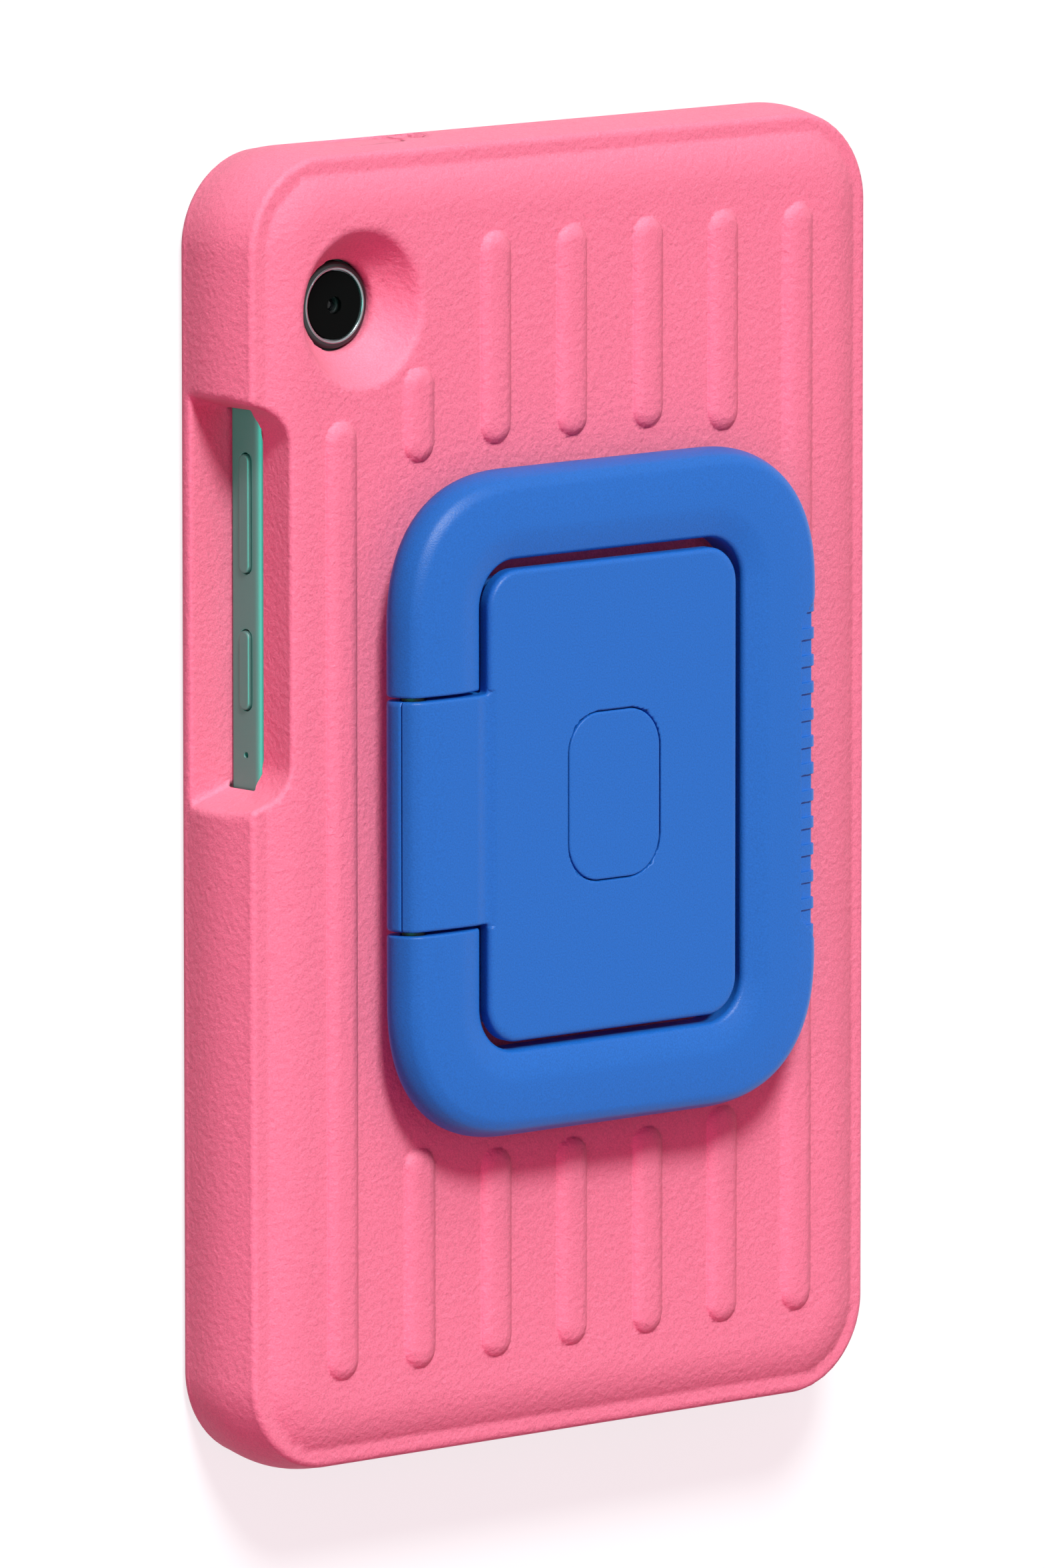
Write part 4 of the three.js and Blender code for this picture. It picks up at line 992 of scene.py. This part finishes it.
def lens_reach_group():
    """Distance from the camera's axis in millimetres."""
    tree, given, made = shader_group("lens_reach", {"Vector": None}, ("Reach",))
    offset = tree.nodes.new("ShaderNodeVectorMath")
    offset.operation = "SUBTRACT"
    offset.inputs[1].default_value = (CAMERA_X / PER_METRE, CAMERA_Y / PER_METRE, 0)
    tree.links.new(given.outputs["Vector"], offset.inputs[0])
    split = tree.nodes.new("ShaderNodeSeparateXYZ")
    tree.links.new(offset.outputs[0], split.inputs[0])
    across = maths(tree, "MULTIPLY", split.outputs[0], split.outputs[0])
    along = maths(tree, "MULTIPLY", split.outputs[1], split.outputs[1])
    metres = maths(tree, "SQRT", maths(tree, "ADD", across, along), 0)
    tree.links.new(maths(tree, "MULTIPLY", metres, PER_METRE), made.inputs["Reach"])
    return tree


LENS_REACH = lens_reach_group()


def step_at(tree, reach, radius, softness):
    """0 inside a radius and 1 outside it."""
    run = maths(tree, "DIVIDE", maths(tree, "SUBTRACT", reach, radius), softness)
    return maths(tree, "MINIMUM", maths(tree, "MAXIMUM", run, 0.0), 1.0)


def camera_glass_finish():
    """Black glass with a clear middle, through which the lens barrel shows."""
    black = (0.002, 0.002, 0.002)
    material, tree, shader, place = finish("camera_glass", black, 0.06, specular=0.03)
    reach = place_group(tree, LENS_REACH, place).outputs["Reach"]
    cover = maths(tree, "MAXIMUM", step_at(tree, reach, 1.45, 0.15), 0.1)
    tree.links.new(cover, shader.inputs["Alpha"])
    return material


def bezel_finish():
    """Dark anodised metal, with a polished line round the glass."""
    anodised = (0.05, 0.052, 0.055)
    material, tree, shader, place = finish("camera_bezel", anodised, 0.4, 0.8)
    texture = place_group(tree, SPECKLE, place, Grain=0.16, Tone=0.08)
    bump(tree, shader, texture.outputs["Height"], 0.004)
    reach = place_group(tree, LENS_REACH, place).outputs["Reach"]
    dark = step_at(tree, reach, BEZEL_LINE + 0.02, 0.03)
    shade = maths(tree, "SUBTRACT", 6.0, maths(tree, "MULTIPLY", dark, 5.0))
    shade = maths(tree, "MULTIPLY", shade, texture.outputs["Shade"])
    shaded(tree, shader, anodised, shade)
    rough = maths(tree, "MULTIPLY", dark, 0.2)
    tree.links.new(maths(tree, "ADD", rough, 0.2), shader.inputs["Roughness"])
    return material


CAMERA_GLASS = camera_glass_finish()
BEZEL = bezel_finish()


# Camera, floor and light

# Angles in degrees and the distance in metres. The focal length, and the place of the aim beside
# the frame's middle, are in pixels of the photograph.
CAMERA = {"azimuth": -41.349, "tilt": 8.16, "distance": 2.80694, "focal": 24085.1}
AIM = Vector((0.0, 0.00045, 0.0204))
PHOTO = {"height": 2352, "aim_x": 61.747, "aim_y": 1.112}
SENSOR = 36.0

FLOOR = {"reach": 3000.0, "lit": 0.3, "glow": 0.76, "plain": 0.15}
AMBIENT = (0.4, 0.1, 0.18)

# What the lamps light: the handle has a lamp of its own, and so has the tablet beside the foam.
CASE_ONLY = bpy.data.collections.new("case_only")
FOAM_ONLY = bpy.data.collections.new("foam_only")
TABLET_ONLY = bpy.data.collections.new("tablet_only")
HANDLE_ONLY = bpy.data.collections.new("handle_only")


def make_camera():
    """The photograph's viewpoint. The case lies down here, so its upright axis is +Y."""
    turn, tilt = math.radians(CAMERA["azimuth"]), math.radians(CAMERA["tilt"])
    level = math.cos(tilt)
    back = Vector((math.sin(turn) * level, math.sin(tilt), math.cos(turn) * level))
    right = Vector((0, 1, 0)).cross(back).normalized()
    up = back.cross(right)
    camera = bpy.data.objects.new("camera", bpy.data.cameras.new("camera"))
    bpy.context.scene.collection.objects.link(camera)
    rotation = Matrix((right, up, back)).transposed().to_4x4()
    camera.matrix_world = Matrix.Translation(AIM + back * CAMERA["distance"]) @ rotation
    camera.data.sensor_width = SENSOR
    camera.data.lens = SENSOR * CAMERA["focal"] / PHOTO["height"]
    camera.data.shift_x = -PHOTO["aim_x"] / PHOTO["height"]
    camera.data.shift_y = -PHOTO["aim_y"] / PHOTO["height"]
    camera.data.clip_end = 50
    bpy.context.scene.camera = camera


def seen_ray(tree):
    """1 for rays from the camera, and for those that a gloss or glass sends on."""
    path = tree.nodes.new("ShaderNodeLightPath")
    seen = maths(tree, "MAXIMUM", path.outputs["Is Camera Ray"], path.outputs["Is Glossy Ray"])
    return maths(tree, "MAXIMUM", seen, path.outputs["Is Transmission Ray"])


def make_floor():
    """A floor that looks white, with the object's shadow on it, and that throws little light."""
    reach = FLOOR["reach"]
    corners = [(-reach, -reach, 0), (reach, -reach, 0), (reach, reach, 0), (-reach, reach, 0)]
    floor = mesh_object("floor", corners, [(0, 1, 2, 3)])
    material = bpy.data.materials.new("pale_floor")
    material.use_nodes = True
    tree = material.node_tree
    tree.nodes.remove(tree.nodes["Principled BSDF"])
    lit = tree.nodes.new("ShaderNodeBsdfDiffuse")
    lit.inputs["Color"].default_value = (*[FLOOR["lit"]] * 3, 1)
    glow = tree.nodes.new("ShaderNodeEmission")
    glow.inputs["Strength"].default_value = FLOOR["glow"]
    shown = tree.nodes.new("ShaderNodeAddShader")
    plain = tree.nodes.new("ShaderNodeBsdfDiffuse")
    plain.inputs["Color"].default_value = (*[FLOOR["plain"]] * 3, 1)
    mix = tree.nodes.new("ShaderNodeMixShader")
    tree.links.new(lit.outputs[0], shown.inputs[0])
    tree.links.new(glow.outputs[0], shown.inputs[1])
    tree.links.new(seen_ray(tree), mix.inputs[0])
    tree.links.new(plain.outputs[0], mix.inputs[1])
    tree.links.new(shown.outputs[0], mix.inputs[2])
    tree.links.new(mix.outputs[0], tree.nodes["Material Output"].inputs["Surface"])
    floor.data.materials.append(material)
    CASE_ONLY.objects.link(floor)
    FOAM_ONLY.objects.link(floor)


def make_world():
    """Dim tinted light from all round, in front of a white background."""
    world = bpy.data.worlds.new("studio")
    world.use_nodes = True
    bpy.context.scene.world = world
    tree = world.node_tree
    background = tree.nodes["Background"]
    mix = tree.nodes.new("ShaderNodeMix")
    mix.data_type = "RGBA"
    dim, bright = (socket for socket in mix.inputs if socket.type == "RGBA")
    dim.default_value = (*AMBIENT, 1)
    bright.default_value = (1, 1, 1, 1)
    tree.links.new(seen_ray(tree), mix.inputs[0])
    shown = next(socket for socket in mix.outputs if socket.type == "RGBA")
    tree.links.new(shown, background.inputs["Color"])


def make_lamp(name, lit, direction, strength, softness, colour=(1, 1, 1)):
    """A distant lamp that lights one collection, from a direction. A strength of pi lights a
    facing white to 1. Its softness is an angle in degrees."""
    lamp = bpy.data.lights.new(name, "SUN")
    lamp.energy = strength
    lamp.angle = math.radians(softness)
    lamp.color = colour
    holder = bpy.data.objects.new(name, lamp)
    bpy.context.scene.collection.objects.link(holder)
    holder.rotation_mode = "QUATERNION"
    holder.rotation_quaternion = Vector(direction).to_track_quat("Z", "Y")
    holder.light_linking.receiver_collection = lit


make_camera()
make_floor()
make_world()
make_lamp("key_lamp", CASE_ONLY, (-0.3, 0.72, 0.63), 3.45, 13, (0.84, 1.0, 0.97))
make_lamp("top_lamp", CASE_ONLY, (-0.13, 0.9, 0.42), 0.7, 22)
make_lamp("side_lamp", FOAM_ONLY, (-0.87, 0.0, 0.5), 0.85, 40, (1.0, 0.22, 0.55))
make_lamp("tablet_lamp", TABLET_ONLY, (-0.87, 0.0, 0.5), 3.4, 40, (0.0, 1.0, 0.75))
make_lamp("handle_lamp", HANDLE_ONLY, (-0.02, 0.56, 0.83), 2.6, 10)


# Pieces on their bodies


def wear(piece, material, slot, body, *nodes):
    """Gives a piece its material and its body, and lets it stand for nodes of the frame."""
    if material is PLASTIC:
        HANDLE_ONLY.objects.link(piece)
    else:
        CASE_ONLY.objects.link(piece)
        (FOAM_ONLY if material is FOAM else TABLET_ONLY).objects.link(piece)
    if not piece.data.materials:
        piece.data.materials.append(material)
    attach(piece, body)
    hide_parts(*nodes)


def paint_node(node, material):
    """A node of the frame that stays as it is and only gets its finish."""
    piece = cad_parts[node]
    CASE_ONLY.objects.link(piece)
    TABLET_ONLY.objects.link(piece)
    piece.data.materials.clear()
    piece.data.materials.append(material)


def make_screws():
    """The four screws up through the foam, and the two down through the cover."""
    low, high = span("base_screw_1")
    profile = screw_profile(low[2], high[2], 1.5, 3.0, 1.5)
    spacing = 2 * CASE_SCREWS["x"], 2 * CASE_SCREWS["y"]
    case_screws = screw_set("case_screws", profile, STEEL, *spacing, 2)
    wear(case_screws, STEEL, "steel", "case", *(f"base_screw_{i}" for i in range(1, 5)))
    low, high = span("cover_screw_upper")
    upright = screw_profile(low[2], high[2], 1.2, 2.3, 1.1)
    flipped = [(radius, low[2] + high[2] - z) for radius, z in reversed(upright)]
    cover_screws = screw_set("cover_screws", flipped, STEEL, 0, 2 * COVER_SCREWS["y"], 1)
    wear(cover_screws, STEEL, "steel", "case", "cover_screw_upper", "cover_screw_lower")


wear(make_case(), FOAM, "foam", "case", "case_shell")
wear(make_loop(), PLASTIC, "blue_plastic", "loop", "handle_loop")
wear(make_cover(), PLASTIC, "blue_plastic", "case", "handle_front_cover")
wear(make_base(), PLASTIC, "blue_plastic", "case", "handle_base")
wear(make_cap(), PLASTIC, "blue_plastic", "case", "handle_centre_cap")
upper_pin = make_pin("hinge_pin_upper", "upper_pin", "Y")
lower_pin = make_pin("hinge_pin_lower", "lower_pin", "-Y")
# The pins get the near-black steel, which paints the shade of the hinge gaps where they show.
wear(upper_pin, GAP_SHADE_STEEL, "steel", "case", "hinge_pin_upper")
wear(lower_pin, GAP_SHADE_STEEL, "steel", "case", "hinge_pin_lower")
make_screws()
wear(make_housing(), HOUSING, "housing", "case", "tablet_housing")
wear(make_screen(), GLASS, "black_glass", "case", "tablet_screen_glass")
volume_key = make_key("tablet_volume_key", "volume_rocker")
power_key = make_key("tablet_power_key", "power_button")
wear(volume_key, HOUSING, "housing", "volume_key", "tablet_volume_key")
wear(power_key, HOUSING, "housing", "power_key", "tablet_power_key")
wear(make_camera_ring(), BEZEL, "bezel", "case", "tablet_camera_ring")
wear(make_camera_glass(), CAMERA_GLASS, "black_glass", "case", "tablet_camera_glass")
wear(make_lens_barrel(), BARREL, "black_plastic", "case", "tablet_lens_barrel")
wear(make_lens(), LENS_GLASS, "black_glass", "case", "tablet_lens_element")
paint_node("base_retainer_plate", INNER)
paint_node("tablet_display_panel", BLACK)
paint_node("tablet_port_sleeve", STEEL)
paint_node("tablet_port_tongue", BLACK)
paint_node("tablet_jack_ring", STEEL)

bpy.context.scene.view_settings.view_transform = "Standard"
